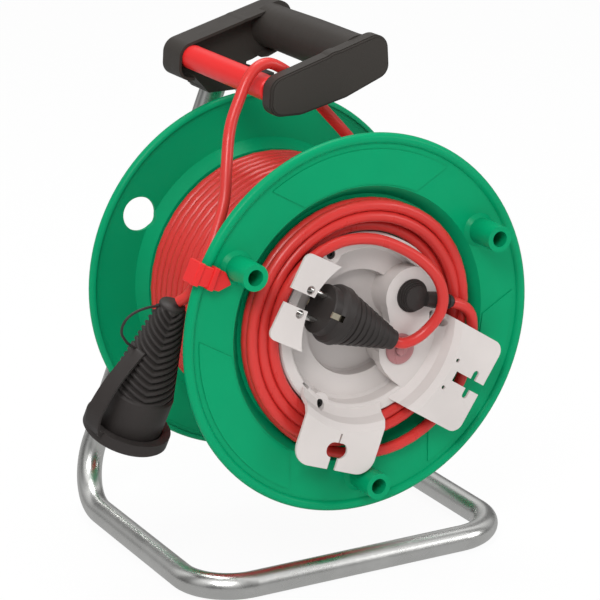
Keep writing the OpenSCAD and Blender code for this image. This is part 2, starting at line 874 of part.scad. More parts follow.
module storage_insert() {
    color("#c9c5c1")
        on_axle()
            difference() {
                union() {
                    rotate_extrude() insert_body_section();
                    intersection() {
                        boss_zone(rim_top_f);
                        union() {
                            translate(gland_at) cylinder(r = gland_boss_r, h = 200);
                            translate(button_at) cylinder(r = button_boss_r, h = 200);
                        }
                    }
                    // seats of the three screws
                    intersection() {
                        boss_zone(ring_top_f - 0.4);
                        around(insert_screw_angles, insert_screw_r) cylinder(r = 8.5, h = 200);
                    }
                    wing(right_wing_a, 76, wing_reach, 9) wing_section(wing_reach + 12);
                    wing(low_wing_a, 70, wing_reach - 4, 14) wing_section(wing_reach + 12);
                    wing(park_wing_a, park_wing_w, park_reach, 6) parking_section(park_reach + 12);
                }
                // hollows behind the two raised bosses
                translate([gland_at[0], gland_at[1], 0])
                    cylinder(r = gland_hollow_r, h = rim_top_f - boss_wall);
                translate([button_at[0], button_at[1], 0])
                    cylinder(r = button_boss_r - boss_wall, h = rim_top_f - boss_wall);
                translate([gland_at[0], gland_at[1], 0]) cylinder(r = gland_stem_r + fit, h = 200);
                translate([button_at[0], button_at[1], 0]) cylinder(r = button_r + gap, h = 200);
                around(insert_screw_angles, insert_screw_r) {
                    cylinder(r = 1.8, h = 200);
                    translate([0, 0, screw_seat_f]) cylinder(r = 3.6, h = 200);
                }
                // pilot holes of the cord clamp's screws
                for (x = clamp_x)
                    translate([x, clamp_y, well_back_f - 1]) cylinder(r = 1.7, h = 2.7);
                // keyholes and small holes of the wings
                rotate([0, 0, right_wing_a]) translate([0, 0, rim_top_f + 2]) {
                    keyhole(wing_reach, 8, 23, 5, wing_reach - 11);
                    translate([wing_reach - 28, -4, 0]) cube([20, 8, 60]);
                    for (side = [-1, 1])
                        translate([wing_reach - 32, side * 11.4, 0]) cylinder(r = 1.6, h = 60);
                }
                rotate([0, 0, low_wing_a]) translate([0, 0, rim_top_f + 2]) {
                    keyhole(wing_reach, 7, 18, 12, wing_reach - 19);
                    translate([wing_reach - 32, -0.75, 0]) cube([12, 1.5, 60]);
                }
                // gap in the parking wing, and the holes that show and hold the two pins
                rotate([0, 0, park_wing_a]) {
                    translate([insert_r - 12, -5.5, rim_top_f + 0.5]) cube([60, 11, 60]);
                    for (side = [-1, 1]) {
                        translate([0, side * pin_half, plug_f]) rotate([0, 90, 0])
                            cylinder(r = pin_r + 0.4, h = insert_r - 1);
                        translate([plug_tip_r - 0.5, side * pin_half, plug_f]) cylinder(r = 3.4, h = 40);
                    }
                }
                // drain slot beside a screw's seat
                rotate([0, 0, -142]) translate([insert_r - insert_rim_w - 2.5, -3.5, well_back_f])
                    cube([5, 7, 30]);
            }
}

module insert_screws() {
    color("#3a3936")
        on_axle()
            around(insert_screw_angles, insert_screw_r)
                difference() {
                    union() {
                        translate([0, 0, screw_seat_f + 0.05]) cylinder(r = 3.2, h = 2.2);
                        translate([0, 0, inner_f]) cylinder(r = 1.45, h = screw_seat_f + 0.1 - inner_f);
                    }
                    translate([0, 0, screw_seat_f + 1]) cylinder(r = 1.5, h = 3);
                }
}

// ---------- gland, cut-out and inner wiring parts ----------
gland_stem_r = 7;
gland_dome_r = 12.8;
lead_f = rim_top_f + 6.6;        // height at which the supply cord leaves its boot
lead_turn = -14;                 // direction of the boot's spout

module gland_boot() {
    color("#26241f")
        on_axle()
            translate([gland_at[0], gland_at[1], 0]) {
                // ribbed dome
                rotate_extrude()
                    polygon(concat(
                        [[0, rim_top_f], [gland_dome_r, rim_top_f]],
                        [for (i = [0 : 4]) each [
                            [gland_dome_r - 0.9 * i, rim_top_f + 1.7 * i + 0.1],
                            [gland_dome_r - 0.9 * i, rim_top_f + 1.7 * i + 1.2],
                            [gland_dome_r - 0.9 * i - 1, rim_top_f + 1.7 * i + 1.3]
                        ]],
                        [[0, rim_top_f + 9.6]]
                    ));
                translate([0, 0, rim_top_f - boss_wall - 8]) cylinder(r = gland_stem_r, h = boss_wall + 9);
                translate([0, 0, rim_top_f - boss_wall - 3])
                    cylinder(r = gland_stem_r + 2, h = 2.8);
                // tapered spout along the cord
                rotate([0, 0, lead_turn]) translate([gland_dome_r - 5, 0, lead_f]) rotate([0, 90, 0])
                    rotate_extrude()
                        polygon(concat(
                            [[0, 0], [4.9 + cord_d / 12, 0]],
                            [for (i = [0 : 3]) each [
                                [cord_d / 2 + 2 - 0.3 * i, 8 + 4 * i],
                                [cord_d / 2 + 2 - 0.3 * i, 10 + 4 * i],
                                [cord_d / 2 + 0.6 - 0.15 * i, 10.4 + 4 * i],
                                [cord_d / 2 + 0.6 - 0.15 * i, 11.6 + 4 * i]
                            ]],
                            [[0, 24]]
                        ));
            }
}

boot_h = 2.4;

module reset_boot() {
    color("#d98a90")
        on_axle()
            translate([button_at[0], button_at[1], rim_top_f + 0.05])
                rotate_extrude()
                    polygon([
                        [button_r + gap, 0], [12, 0], [12, 1], [11, boot_h - 0.4], [9.5, boot_h],
                        [button_r + 1.6, boot_h - 0.6], [button_r + gap, boot_h - 0.4]
                    ]);
}

button_low_f = rim_top_f - boss_wall - button_travel - 1.4;

module reset_button() {
    color("#e2a3a6")
        on_axle()
            translate([button_at[0], button_at[1], 0])
                rotate_extrude()
                    polygon([
                        [0, button_low_f], [button_r, button_low_f], [button_r, rim_top_f + boot_h + 1.2],
                        [button_r - 1, rim_top_f + boot_h + button_travel], [0, rim_top_f + boot_h + button_travel + 0.4]
                    ]);
}

module cutout_body() {
    color("#2c2b29")
        on_axle()
            translate([button_at[0], button_at[1], 0])
                difference() {
                    union() {
                        translate([-7, -7, well_back_f - 16])
                            cube([14, 14, rim_top_f - boss_wall - 1 - well_back_f + 16 - 0.1]);
                        translate([0, 0, rim_top_f - boss_wall - 6])
                            cylinder(r = 9.5, h = 5.8);
                        // two blade terminals
                        for (x = [-4, 4])
                            translate([x - 0.4, -3, well_back_f - 24]) cube([0.8, 6, 9]);
                    }
                    translate([0, 0, button_low_f - button_travel - 0.3]) cylinder(r = button_r + gap, h = 40);
                }
}

module terminal_block() {
    color("#e6e3da")
        on_axle()
            translate([-30, -4, well_back_f - 16.2])
                difference() {
                    cube([36, 18, 16]);
                    for (i = [0 : 2]) {
                        translate([6 + 12 * i, 9, 6]) cylinder(r = 2.2, h = 20);
                        translate([6 + 12 * i, -1, 5]) rotate([-90, 0, 0]) cylinder(r = 2.4, h = 20);
                    }
                }
}

clamp_x = [-20, 0];     // places of the cord clamp's two screws
clamp_y = -25;

module cord_clamp() {
    color("#c9c5c1")
        on_axle()
            difference() {
                translate([clamp_x[0] - 4, clamp_y - 5, well_back_f - 8.2])
                    cube([clamp_x[1] - clamp_x[0] + 8, 10, 8]);
                translate([(clamp_x[0] + clamp_x[1]) / 2, clamp_y, well_back_f - 9.7]) rotate([90, 0, 0])
                    cylinder(r = cord_d / 2, h = 12, center = true);
                for (x = clamp_x)
                    translate([x, clamp_y, well_back_f - 10]) cylinder(r = 1.8, h = 12);
            }
}

module inner_screws() {
    color("#b9bbb8")
        on_axle()
            for (x = clamp_x)
                translate([x, clamp_y, well_back_f - 10.3]) {
                    cylinder(r = 3, h = 2);
                    cylinder(r = 1.6, h = 11.6);
                }
}

// ---------- winding and supply cord ----------
coil_in_r = insert_r + 0.5;
coil_f = dish_f + 0.3;
coil_depth = 2 * cord_d - 1.5;

module soft_ring(r_in, r_out, f_low, f_high, round_r) {
    rotate_extrude()
        translate([(r_in + r_out) / 2, (f_low + f_high) / 2])
            rounded_box_2d(r_out - r_in, f_high - f_low, round_r);
}

module winding() {
    color("#c8262a")
        on_axle() soft_ring(core_r + 0.2, winding_r, -inner_f + 0.4, inner_f - 0.4, cord_d / 2);
}

module supply_coil() {
    color("#cf2a2d")
        on_axle() soft_ring(coil_in_r, supply_coil_r, coil_f, coil_f + coil_depth, cord_d / 2);
}

// Smooth curve through hand-chosen points: each span is cut into short steps
function between(a, b, c, d, t) =
    0.5 * (2 * b + (c - a) * t + (2 * a - 5 * b + 4 * c - d) * t * t + (3 * b - a - 3 * c + d) * t * t * t);
function smooth(p, n) = [
    for (i = [0 : len(p) - 2])
        for (k = [0 : n - 1])
            between(p[max(i - 1, 0)], p[i], p[i + 1], p[min(i + 2, len(p) - 1)], k / n),
    p[len(p) - 1]
];
function ahead(p, i) = unit(p[min(i + 1, len(p) - 1)] - p[max(i - 1, 0)]);
// Carries a side vector along the route without twist
function carried(p, i, v) = unit(v - (v * ahead(p, i)) * ahead(p, i));
function sides(p, v, i = 0) = i == len(p) ? [] : concat([carried(p, i, v)], sides(p, carried(p, i, v), i + 1));

module cord_tube(p, r, v) {
    n = 8;
    s = sides(p, v);
    rings = [
        for (i = [0 : len(p) - 1])
            for (k = [0 : n - 1])
                p[i] + r * (cos(360 * k / n) * s[i] + sin(360 * k / n) * cross(ahead(p, i), s[i]))
    ];
    last = (len(p) - 1) * n;
    polyhedron(
        points = rings,
        faces = concat(
            [[for (k = [0 : n - 1]) k]],
            [for (i = [0 : len(p) - 2]) for (k = [0 : n - 1])
                [i * n + k, (i + 1) * n + k, (i + 1) * n + (k + 1) % n, i * n + (k + 1) % n]],
            [[for (k = [n - 1 : -1 : 0]) last + k]]
        )
    );
}

// Supply cord from the boot onto the coil, in the drum's own axes
lead_points = [
    [72, 10, 94.6], [80, 7, 94.5], [88, 1, 94], [93, -9, 93.3], [95, -22, 93]
];
// Supply cord from the coil over the gland to the plug
tail_points = [
    [-40, 68, 93], [-24, 70, 93], [-6, 70, 93], [12, 66, 94], [28, 58, 97], [42, 48, 101], [53, 35, 104],
    [58, 20, 105], [56, 6, 104], [48, -5, 101], [39, -12, 99], [28, -15, 97], [20, -11, 96]
];

module supply_lead() {
    color("#cf2a2d")
        on_axle() cord_tube(smooth(lead_points, 2), cord_d / 2, [0, 0, 1]);
}

module supply_tail() {
    color("#cf2a2d")
        on_axle() cord_tube(smooth(tail_points, 2), cord_d / 2, [0, 0, 1]);
}

// ---------- plug ----------
plug_f = rim_top_f + 8;       // height of the plug's axis
pin_half = 9.5;
pin_r = 2.4;
plug_tip_r = insert_r - 3.4;    // where the parked pins end
plug_face_at = plug_tip_r - 19; // distance of the plug's face from the drum's centre line

// Places children along the parked plug: Z from its face to its cord end
module on_plug() {
    on_axle()
        rotate([0, 0, park_wing_a])
            translate([plug_face_at, 0, plug_f]) rotate([0, -90, 0]) children();
}

module plug_body() {
    color("#2b2926")
        on_plug()
            difference() {
                rotate_extrude()
                    polygon(concat(
                        [[0, 0], [18.4, 0], [19, 0.6], [19, 7], [plug_r - 1, 9], [plug_r, 11], [plug_r, 17]],
                        [for (i = [0 : 7]) each [
                            [plug_r - 1.5 - 1.6 * i, 18.5 + 6 * i],
                            [plug_r - 2 - 1.6 * i, 22 + 6 * i],
                            [plug_r - 4 - 1.5 * i, 22.6 + 6 * i],
                            [plug_r - 4 - 1.5 * i, 24 + 6 * i]
                        ]],
                        [[7.6, plug_len], [0, plug_len]]
                    ));
                // slots of the earthing contacts and seats of the pins
                for (side = [-1, 1])
                    translate([side * 19, 0, 7]) cube([5, 5, 14.4], center = true);
                for (side = [-1, 1])
                    translate([0, side * pin_half, -1]) cylinder(r = pin_r + fit, h = 13);
            }
}

module plug_pins() {
    color("#c9c8c4")
        on_plug()
            for (side = [-1, 1])
                translate([0, side * pin_half, -18.6]) {
                    cylinder(r = pin_r, h = 30);
                    sphere(pin_r);
                }
}

module plug_contacts() {
    color("#d9d6cc")
        on_plug()
            for (side = [-1, 1])
                translate([side * 17.7, 0, 7]) cube([1.6, 4.4, 13.8], center = true);
}

// ---------- main cord run, clip and coupling ----------
// The run leaves the winding, goes over the guide bar and down through the clip to the coupling
run_points = [
    [73.9, -14, 272.9], [56, -16, 291], [38, -18, 310], [20, -20, 330], [6, -21, 345], [-8, -22, 360],
    [-20, -22, 373], [-31, -22, 382], [-43, -22, 388], [-54, -23, 385], [-63, -26, 376], [-70, -30, 361],
    [-77, -35, 343], [-88, -43, 322], [-99, -50, 304], [-110, -57, 290], [-121, -64, 279],
    [-130, -67, 266], [-137, -67, 249], [-140, -63, 239], [-142, -60, 230]
];

module cord_run() {
    color("#cf2a2d")
        cord_tube(smooth(run_points, 2), cord_d / 2, [0, 1, 0]);
}

clip_angle = 156;
clip_w = 16;
clip_cord_r = flange_r + 1;     // distance of the clipped cord from the axle
clip_cord_f = 67;
clip_back_f = clip_cord_f - cord_d / 2 - 3;
clip_tip_r = boss_circle_r + 9; // where the clip's pointed end lies on the flange

// Clip that hooks over the front flange's rim and holds the cord
module cord_clip() {
    color("#d6282c")
        on_axle()
            rotate([0, 0, clip_angle])
                difference() {
                    union() {
                        translate([flange_r - 2 * bead_r, -clip_w / 2, clip_back_f])
                            cube([2 * bead_r + 9, clip_w, plate_f + bead_r + 2 - clip_back_f]);
                        translate([0, 0, plate_f + 1.2 + gap])
                            linear_extrude(3.5)
                                polygon([
                                    [clip_tip_r, 0], [clip_tip_r + 6, -clip_w / 2], [flange_r, -clip_w / 2],
                                    [flange_r, clip_w / 2], [clip_tip_r + 6, clip_w / 2]
                                ]);
                    }
                    // channel for the rolled rim, with running clearance
                    rotate_extrude()
                        polygon([
                            [0, plate_f - bead_r - 1 - gap], [flange_r + gap, plate_f - bead_r - 1 - gap],
                            [flange_r + gap, plate_f + bead_r - 1 + gap],
                            [flange_r - 2 * bead_r - gap, plate_f + bead_r - 1 + gap],
                            [flange_r - 2 * bead_r - gap, plate_f + 1.2 + gap], [0, plate_f + 1.2 + gap]
                        ]);
                    // seat of the cord and the mouth through which it snaps in
                    translate([clip_cord_r, 0, clip_cord_f]) rotate([90, 0, 0])
                        cylinder(r = cord_d / 2 + 0.6, h = 2 * clip_w, center = true);
                    translate([clip_cord_r - 3, -clip_w, clip_back_f - 1]) cube([6, 2 * clip_w, 6]);
                }
}

coupling_aim = [-26, 35, -109];
coupling_dir = unit(coupling_aim);
coupling_rear = run_points[len(run_points) - 1] + coupling_dir * gap;
band_side = [-0.95, -0.3, 0];

module on_coupling() {
    aim(coupling_rear, coupling_dir, band_side) children();
}

neck_len = coupling_len - 38;
rib_count = 13;
rib_pitch = neck_len / rib_count;
function rib_r(i) = 9.8 + (coupling_r - 11.3) * i / rib_count;

module coupling_body() {
    color("#3a3835")
        on_coupling()
            difference() {
                rotate_extrude()
                    polygon(concat(
                        [[0, 0], [9.4, 0]],
                        [for (i = [0 : rib_count - 1]) each [
                            [rib_r(i), 2 + i * rib_pitch], [rib_r(i) + 0.9, 2 + (i + 0.5) * rib_pitch],
                            [rib_r(i) - 0.8, 2 + (i + 0.6) * rib_pitch],
                            [rib_r(i) - 0.8, 2 + (i + 0.9) * rib_pitch]
                        ]],
                        [[coupling_r, neck_len + 3], [coupling_r, coupling_len], [18.4, coupling_len],
                         [18.4, coupling_len - 22], [0, coupling_len - 22]]
                    ));
            }
}

module coupling_face() {
    color("#2b2926")
        on_coupling()
            translate([0, 0, coupling_len - 21.9])
                difference() {
                    cylinder(r = 18.3, h = 6);
                    for (side = [-1, 1])
                        translate([0, side * pin_half, -1]) cylinder(r = 2.8, h = 8);
                }
}

module coupling_contacts() {
    color("#c8a24a")
        on_coupling()
            for (side = [-1, 1])
                translate([side * 17.4, 0, coupling_len - 10]) cube([1.4, 4, 11], center = true);
}

lid_skirt = 5;
lid_plate = 5;
lid_r = coupling_r + 7;
hinge_off = lid_r + 2.5;

module coupling_lid() {
    color("#34322f")
        on_coupling() {
            translate([0, 0, coupling_len - lid_skirt])
                difference() {
                    cylinder(r = lid_r, h = lid_skirt + lid_plate);
                    translate([0, 0, -1]) cylinder(r = coupling_r + lid_gap, h = lid_skirt + 1 + 0.4);
                    translate([0, 0, lid_skirt + lid_plate - 1.2])
                        difference() {
                            cylinder(r = 2 * lid_r, h = 5);
                            translate([0, 0, -1]) cylinder(r1 = lid_r + 1, r2 = lid_r - 5, h = 6);
                        }
                }
            // knuckle of the hinge
            difference() {
                translate([0, 0, coupling_len - lid_skirt]) {
                    rotate([90, 0, 0]) translate([hinge_off, 0, -4]) cylinder(r = 2.4, h = 8);
                    translate([lid_r - 2, -4, 0.6]) cube([4, 8, 3]);
                }
                translate([hinge_off, 0, coupling_len - lid_skirt]) rotate([90, 0, 0])
                    cylinder(r = lid_pin_r + run_gap, h = 20, center = true);
            }
        }
}

lid_pin_r = 1;

module lid_pin() {
    color("#b9bbb8")
        on_coupling()
            translate([hinge_off, 0, coupling_len - lid_skirt]) rotate([90, 0, 0])
                cylinder(r = lid_pin_r, h = band_w - 1, center = true);
}

band_t = 2.6;
band_w = 14;
collar_rib = 2;                     // the collar sits on this rib of the neck
collar_z = 2 + collar_rib * rib_pitch;
collar_in_r = rib_r(collar_rib) + 1;
collar_r = collar_in_r + 2.6;
hinge_z = coupling_len - lid_skirt;
band_knee = [coupling_r + 2, 0, collar_z + 30];

module band_leg(a, b, w) {
    aim(a, b - a, [1, 0, 0])
        translate([-band_t / 2, -w / 2, 0]) cube([band_t, w, norm(b - a)]);
}

// Collar at the top of the neck and the band that carries the lid's hinge: it is thin at first,
// stands off the neck and widens towards the lid
module lid_band() {
    band_start = [collar_r - band_t / 2, 0, collar_z + 2];
    band_end = [hinge_off, 0, hinge_z];
    color("#3d3b38")
        on_coupling()
            difference() {
                union() {
                    translate([0, 0, collar_z]) cylinder(r = collar_r, h = 0.8 * rib_pitch);
                    band_leg(band_start, band_knee, 0.4 * band_w);
                    band_leg(band_knee, band_end, band_w);
                    translate(band_knee) rotate([90, 0, 0]) cylinder(r = band_t / 2, h = band_w - 0.5, center = true);
                    translate(band_end) rotate([90, 0, 0]) cylinder(r = 2.6, h = band_w, center = true);
                }
                translate([0, 0, collar_z - 1]) cylinder(r = collar_in_r, h = 10);
                translate(band_end) {
                    rotate([90, 0, 0]) cylinder(r = lid_pin_r + fit, h = 40, center = true);
                    translate([-10, -4.5, -4]) cube([20, 9, 20]);
                }
            }
}

place() tube_frame();
place() axle_bracket();
place() bracket_bolts();
place() bracket_nuts();
place() axle();
place() axle_nut();
place() thrust_washer();
place() axle_clip();
place() rear_arm();
place() apex_clamp();
place() clamp_screws();
place() front_arm();
place() grip();
place() guide_bar();
place() guide_rod();
place() rod_caps();
place() front_flange();
place() rear_flange();
place() drum_core();
place() tie_bolts();
place() tie_nuts();
place() bearing_bush();
place() storage_insert();
place() insert_screws();
place() gland_boot();
place() reset_boot();
place() reset_button();
place() cutout_body();
place() terminal_block();
place() cord_clamp();
place() inner_screws();
place() winding();
place() supply_coil();
place() supply_lead();
place() supply_tail();
place() plug_body();
place() plug_pins();
place() plug_contacts();
place() cord_clip();
place() cord_run();
place() coupling_body();
place() coupling_face();
place() coupling_contacts();
place() coupling_lid();
place() lid_band();
place() lid_pin();
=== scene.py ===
"""Looks of an extension cord reel: its finishes and cords, around the fixed model.

Metres, +Z up. The operator stands on the -Y side and the drum turns about Y.
"""
import json
import math

import bmesh
import bpy
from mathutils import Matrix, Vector


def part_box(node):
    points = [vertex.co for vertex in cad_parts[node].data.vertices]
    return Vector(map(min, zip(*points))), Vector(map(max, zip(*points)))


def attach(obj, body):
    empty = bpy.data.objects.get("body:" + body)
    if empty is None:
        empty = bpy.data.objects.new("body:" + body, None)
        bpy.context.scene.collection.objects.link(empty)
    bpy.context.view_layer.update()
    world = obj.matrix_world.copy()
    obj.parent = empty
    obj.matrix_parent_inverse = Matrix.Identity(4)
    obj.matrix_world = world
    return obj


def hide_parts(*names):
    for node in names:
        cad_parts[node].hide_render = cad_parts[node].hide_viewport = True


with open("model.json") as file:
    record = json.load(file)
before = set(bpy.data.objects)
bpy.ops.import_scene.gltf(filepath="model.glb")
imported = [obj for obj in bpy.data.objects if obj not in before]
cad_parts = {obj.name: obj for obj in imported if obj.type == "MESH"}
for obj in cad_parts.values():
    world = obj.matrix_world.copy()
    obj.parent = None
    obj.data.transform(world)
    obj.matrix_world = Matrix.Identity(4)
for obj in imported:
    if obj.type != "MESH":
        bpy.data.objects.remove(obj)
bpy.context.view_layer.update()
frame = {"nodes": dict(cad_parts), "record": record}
NODES = frame["nodes"]
MM = 0.001

core_low, core_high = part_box("drum_core")
DRUM = (core_low + core_high) / 2          # middle of the drum, on its axle


def on_drum(x, up, forward):
    """A place in the drum's own millimetres: to the right, up and to the front of its middle."""
    return DRUM + Vector((x, -forward, up)) * MM


def round_drum(angle, radius, forward):
    """A place by its angle in degrees, counted as the operator sees it, anticlockwise from the right."""
    turn = math.radians(angle)
    return on_drum(radius * math.cos(turn), radius * math.sin(turn), forward)


# ---------- helpers for shader trees ----------


def feed(tree, socket, value):
    """Gives a socket a constant, or joins it to another socket."""
    if isinstance(value, (int, float, tuple)):
        socket.default_value = value
    else:
        tree.links.new(value, socket)


def blend_levels(tree, share, low, high):
    """A number between two others."""
    node = tree.nodes.new("ShaderNodeMix")
    for socket, value in zip((node.inputs[0], node.inputs[2], node.inputs[3]), (share, low, high)):
        feed(tree, socket, value)
    return node.outputs[0]


def ramp(tree, value, low, high, out_low, out_high):
    """Carries a value from one range to another."""
    node = tree.nodes.new("ShaderNodeMapRange")
    for label, end in (("Value", value), ("From Min", low), ("From Max", high),
                       ("To Min", out_low), ("To Max", out_high)):
        feed(tree, node.inputs[label], end)
    return node.outputs["Result"]


def math_node(tree, operation, *values):
    node = tree.nodes.new("ShaderNodeMath")
    node.operation = operation
    for socket, value in zip(node.inputs, values):
        feed(tree, socket, value)
    return node.outputs[0]


def multiply(tree, a, b):
    return math_node(tree, "MULTIPLY", a, b)


def add(tree, a, b):
    return math_node(tree, "ADD", a, b)


def noise(tree, scale, detail, stretch=None):
    """Noise on the piece's own coordinates."""
    place = tree.nodes.new("ShaderNodeTexCoord").outputs["Object"]
    if stretch:
        mapping = tree.nodes.new("ShaderNodeMapping")
        mapping.inputs["Scale"].default_value = stretch
        tree.links.new(place, mapping.inputs["Vector"])
        place = mapping.outputs["Vector"]
    node = tree.nodes.new("ShaderNodeTexNoise")
    tree.links.new(place, node.inputs["Vector"])
    feed(tree, node.inputs["Scale"], scale)
    node.inputs["Detail"].default_value = detail
    return node.outputs["Fac"]


def mix_colours(tree, share, a, b):
    node = tree.nodes.new("ShaderNodeMix")
    node.data_type = "RGBA"
    for socket, value in zip((node.inputs[0], node.inputs[6], node.inputs[7]), (share, a, b)):
        feed(tree, socket, value)
    return node.outputs[2]


def scale_colour(tree, colour, factor):
    node = tree.nodes.new("ShaderNodeVectorMath")
    node.operation = "SCALE"
    tree.links.new(colour, node.inputs[0])
    tree.links.new(factor, node.inputs["Scale"])
    return node.outputs[0]


# ---------- camera, light and floor ----------
CAMERA_AZIMUTH = math.radians(-28.8)
CAMERA_HEIGHT = math.radians(17.4)
CAMERA_DISTANCE = 2.0
CAMERA_LENS = 156.8
CAMERA_SHIFT = (-0.0105, -0.0075)


def make_camera():
    back = Vector((
        math.sin(CAMERA_AZIMUTH) * math.cos(CAMERA_HEIGHT),
        -math.cos(CAMERA_AZIMUTH) * math.cos(CAMERA_HEIGHT),
        math.sin(CAMERA_HEIGHT),
    ))
    data = bpy.data.cameras.new("camera")
    data.sensor_width = 36
    data.lens = CAMERA_LENS
    data.shift_x, data.shift_y = CAMERA_SHIFT
    data.clip_end = 50
    camera = bpy.data.objects.new("camera", data)
    camera.location = DRUM + back * CAMERA_DISTANCE
    camera.rotation_euler = (-back).to_track_quat("-Z", "Y").to_euler()
    bpy.context.collection.objects.link(camera)
    bpy.context.scene.camera = camera


def make_lamp(name, place, size, watts):
    data = bpy.data.lights.new(name, "AREA")
    data.size = size
    data.energy = watts
    lamp = bpy.data.objects.new(name, data)
    lamp.location = place
    lamp.rotation_euler = (DRUM - Vector(place)).to_track_quat("-Z", "Y").to_euler()
    bpy.context.collection.objects.link(lamp)


# Light from all round: what dull surfaces receive, and what shiny ones mirror at eye level and overhead
WORLD_LEVEL = 0.64
SHEEN_LOW, SHEEN_HIGH = 0.20, 0.95
SHEEN_TOP = 0.9               # sine of the height from which the mirrored sky is at its brightest
# Dark panels round the room, which leave lengthwise streaks on the tubes
PANELS, PANEL_TURN, PANEL_DARK = 6, 0.6, 0.30
PANEL_EDGE_LOW, PANEL_EDGE_HIGH = -0.5, 0.4

FLOOR_RADIUS = 14
FLOOR_GREY, FLOOR_ROUGHNESS = 0.86, 0.7
FLOOR_WHITE_SHARE = 0.94      # how far the camera sees the floor as plain white
FLOOR_SHEEN = 0.42            # what shiny surfaces mirror of the floor

# name, place, size and watts
LAMPS = [
    ("key", (-1.3, -1.5, 1.9), 0.9, 30),
    ("fill", (1.7, -1.6, 1.0), 0.9, 9),
    ("top", (0.2, 0.4, 2.2), 1.2, 20),
]


def make_world():
    world = bpy.data.worlds.new("studio")
    bpy.context.scene.world = world
    world.use_nodes = True
    tree = world.node_tree
    sky = tree.nodes["Background"]
    sky.inputs["Color"].default_value = (1, 1, 1, 1)
    path = tree.nodes.new("ShaderNodeLightPath")
    direction = tree.nodes.new("ShaderNodeSeparateXYZ")
    tree.links.new(tree.nodes.new("ShaderNodeTexCoord").outputs["Generated"], direction.inputs[0])
    height = ramp(tree, direction.outputs["Z"], 0.0, SHEEN_TOP, SHEEN_LOW, SHEEN_HIGH)
    around = math_node(tree, "ARCTAN2", direction.outputs["Y"], direction.outputs["X"])
    wave = math_node(tree, "SINE", add(tree, multiply(tree, around, PANELS), PANEL_TURN))
    panels = ramp(tree, wave, PANEL_EDGE_LOW, PANEL_EDGE_HIGH, PANEL_DARK, 1.0)
    level = blend_levels(tree, path.outputs["Is Glossy Ray"], WORLD_LEVEL, multiply(tree, height, panels))
    level = blend_levels(tree, path.outputs["Is Camera Ray"], level, 1.0)
    tree.links.new(level, sky.inputs["Strength"])


def make_floor():
    bm = bmesh.new()
    bmesh.ops.create_circle(bm, cap_ends=True, segments=64, radius=FLOOR_RADIUS)
    mesh = bpy.data.meshes.new("floor")
    bm.to_mesh(mesh)
    bm.free()
    floor = bpy.data.objects.new("floor", mesh)
    bpy.context.collection.objects.link(floor)
    pale = bpy.data.materials.new("pale_floor")
    pale.use_nodes = True
    tree = pale.node_tree
    skin = tree.nodes["Principled BSDF"]
    skin.inputs["Base Color"].default_value = (FLOOR_GREY, FLOOR_GREY, FLOOR_GREY, 1)
    skin.inputs["Roughness"].default_value = FLOOR_ROUGHNESS
    path = tree.nodes.new("ShaderNodeLightPath")
    shader = skin.outputs[0]
    for ray, share, level in (("Is Camera Ray", FLOOR_WHITE_SHARE, 1.0), ("Is Glossy Ray", 1.0, FLOOR_SHEEN)):
        glow = tree.nodes.new("ShaderNodeEmission")
        glow.inputs["Strength"].default_value = level
        mix = tree.nodes.new("ShaderNodeMixShader")
        tree.links.new(blend_levels(tree, path.outputs[ray], 0.0, share), mix.inputs[0])
        tree.links.new(shader, mix.inputs[1])
        tree.links.new(glow.outputs[0], mix.inputs[2])
        shader = mix.outputs[0]
    tree.links.new(shader, tree.nodes["Material Output"].inputs[0])
    mesh.materials.append(pale)


make_camera()
make_world()
make_floor()
for lamp in LAMPS:
    make_lamp(*lamp)

# ---------- cords ----------
CORD_D = 8.5          # millimetres


def smooth_route(points, steps):
    """Catmull-Rom curve through the points."""
    route = []
    for i in range(len(points) - 1):
        a, b, c, d = (points[min(max(i + k, 0), len(points) - 1)] for k in (-1, 0, 1, 2))
        for k in range(steps):
            t = k / steps
            route.append(0.5 * (2 * b + (c - a) * t + (2 * a - 5 * b + 4 * c - d) * t * t
                                + (3 * b - a - 3 * c + d) * t ** 3))
    route.append(points[-1])
    return route


def make_cord(name, route, rings):
    """A round cord along the route; each point's radius also sets the piece's bounds."""
    data = bpy.data.curves.new(name, "CURVE")
    data.dimensions = "3D"
    data.twist_mode = "MINIMUM"
    data.bevel_depth = 1
    data.bevel_resolution = rings
    data.use_fill_caps = True
    line = data.splines.new("POLY")
    line.points.add(len(route) - 1)
    for point, place in zip(line.points, route):
        point.co = (*place, 1)
        point.radius = CORD_D / 2 * MM
    line.use_smooth = True
    cord = bpy.data.objects.new(name, data)
    bpy.context.collection.objects.link(cord)
    return cord


def ease(t):
    """Runs from 0 to 1 with soft ends."""
    t = min(max(t, 0), 1)
    return t * t * (3 - 2 * t)


# The main cord on the drum: five layers of turns, wound towards the operator's left over the top
LAYER_R = [64.45, 72.45, 80.45, 88.45, 96.45]
TURN_PITCH = 8.65
TIGHTEST_PITCH = 8.5
END_F = 64.9                   # place of a layer's last turn beside a flange
ENTRY_ANGLE, ENTRY_F = -20, 55.65
POINTS_PER_TURN = 40
CROSSING_ANGLE = 205           # where the cord leaves the outer layer and crosses over it
RUN_START_ANGLE, RUN_START_R, RUN_START_F = 45.4, 105.2, 14
SWAY, SLOW_SWAY, LIFT = 0.45, 0.3, 0.25      # how far the turns wander along and away from the core
LAYER_PHASE = 0.31
FADE = 1 / 6                   # share of a leg over which the wandering comes and goes
CLIMB = 0.16                   # share of a turn in which the cord climbs to the next layer
RISE, CROSS, CROSS_DELAY = 2.4, 1.1, 0.1     # pace of the last part's rise and of its way across


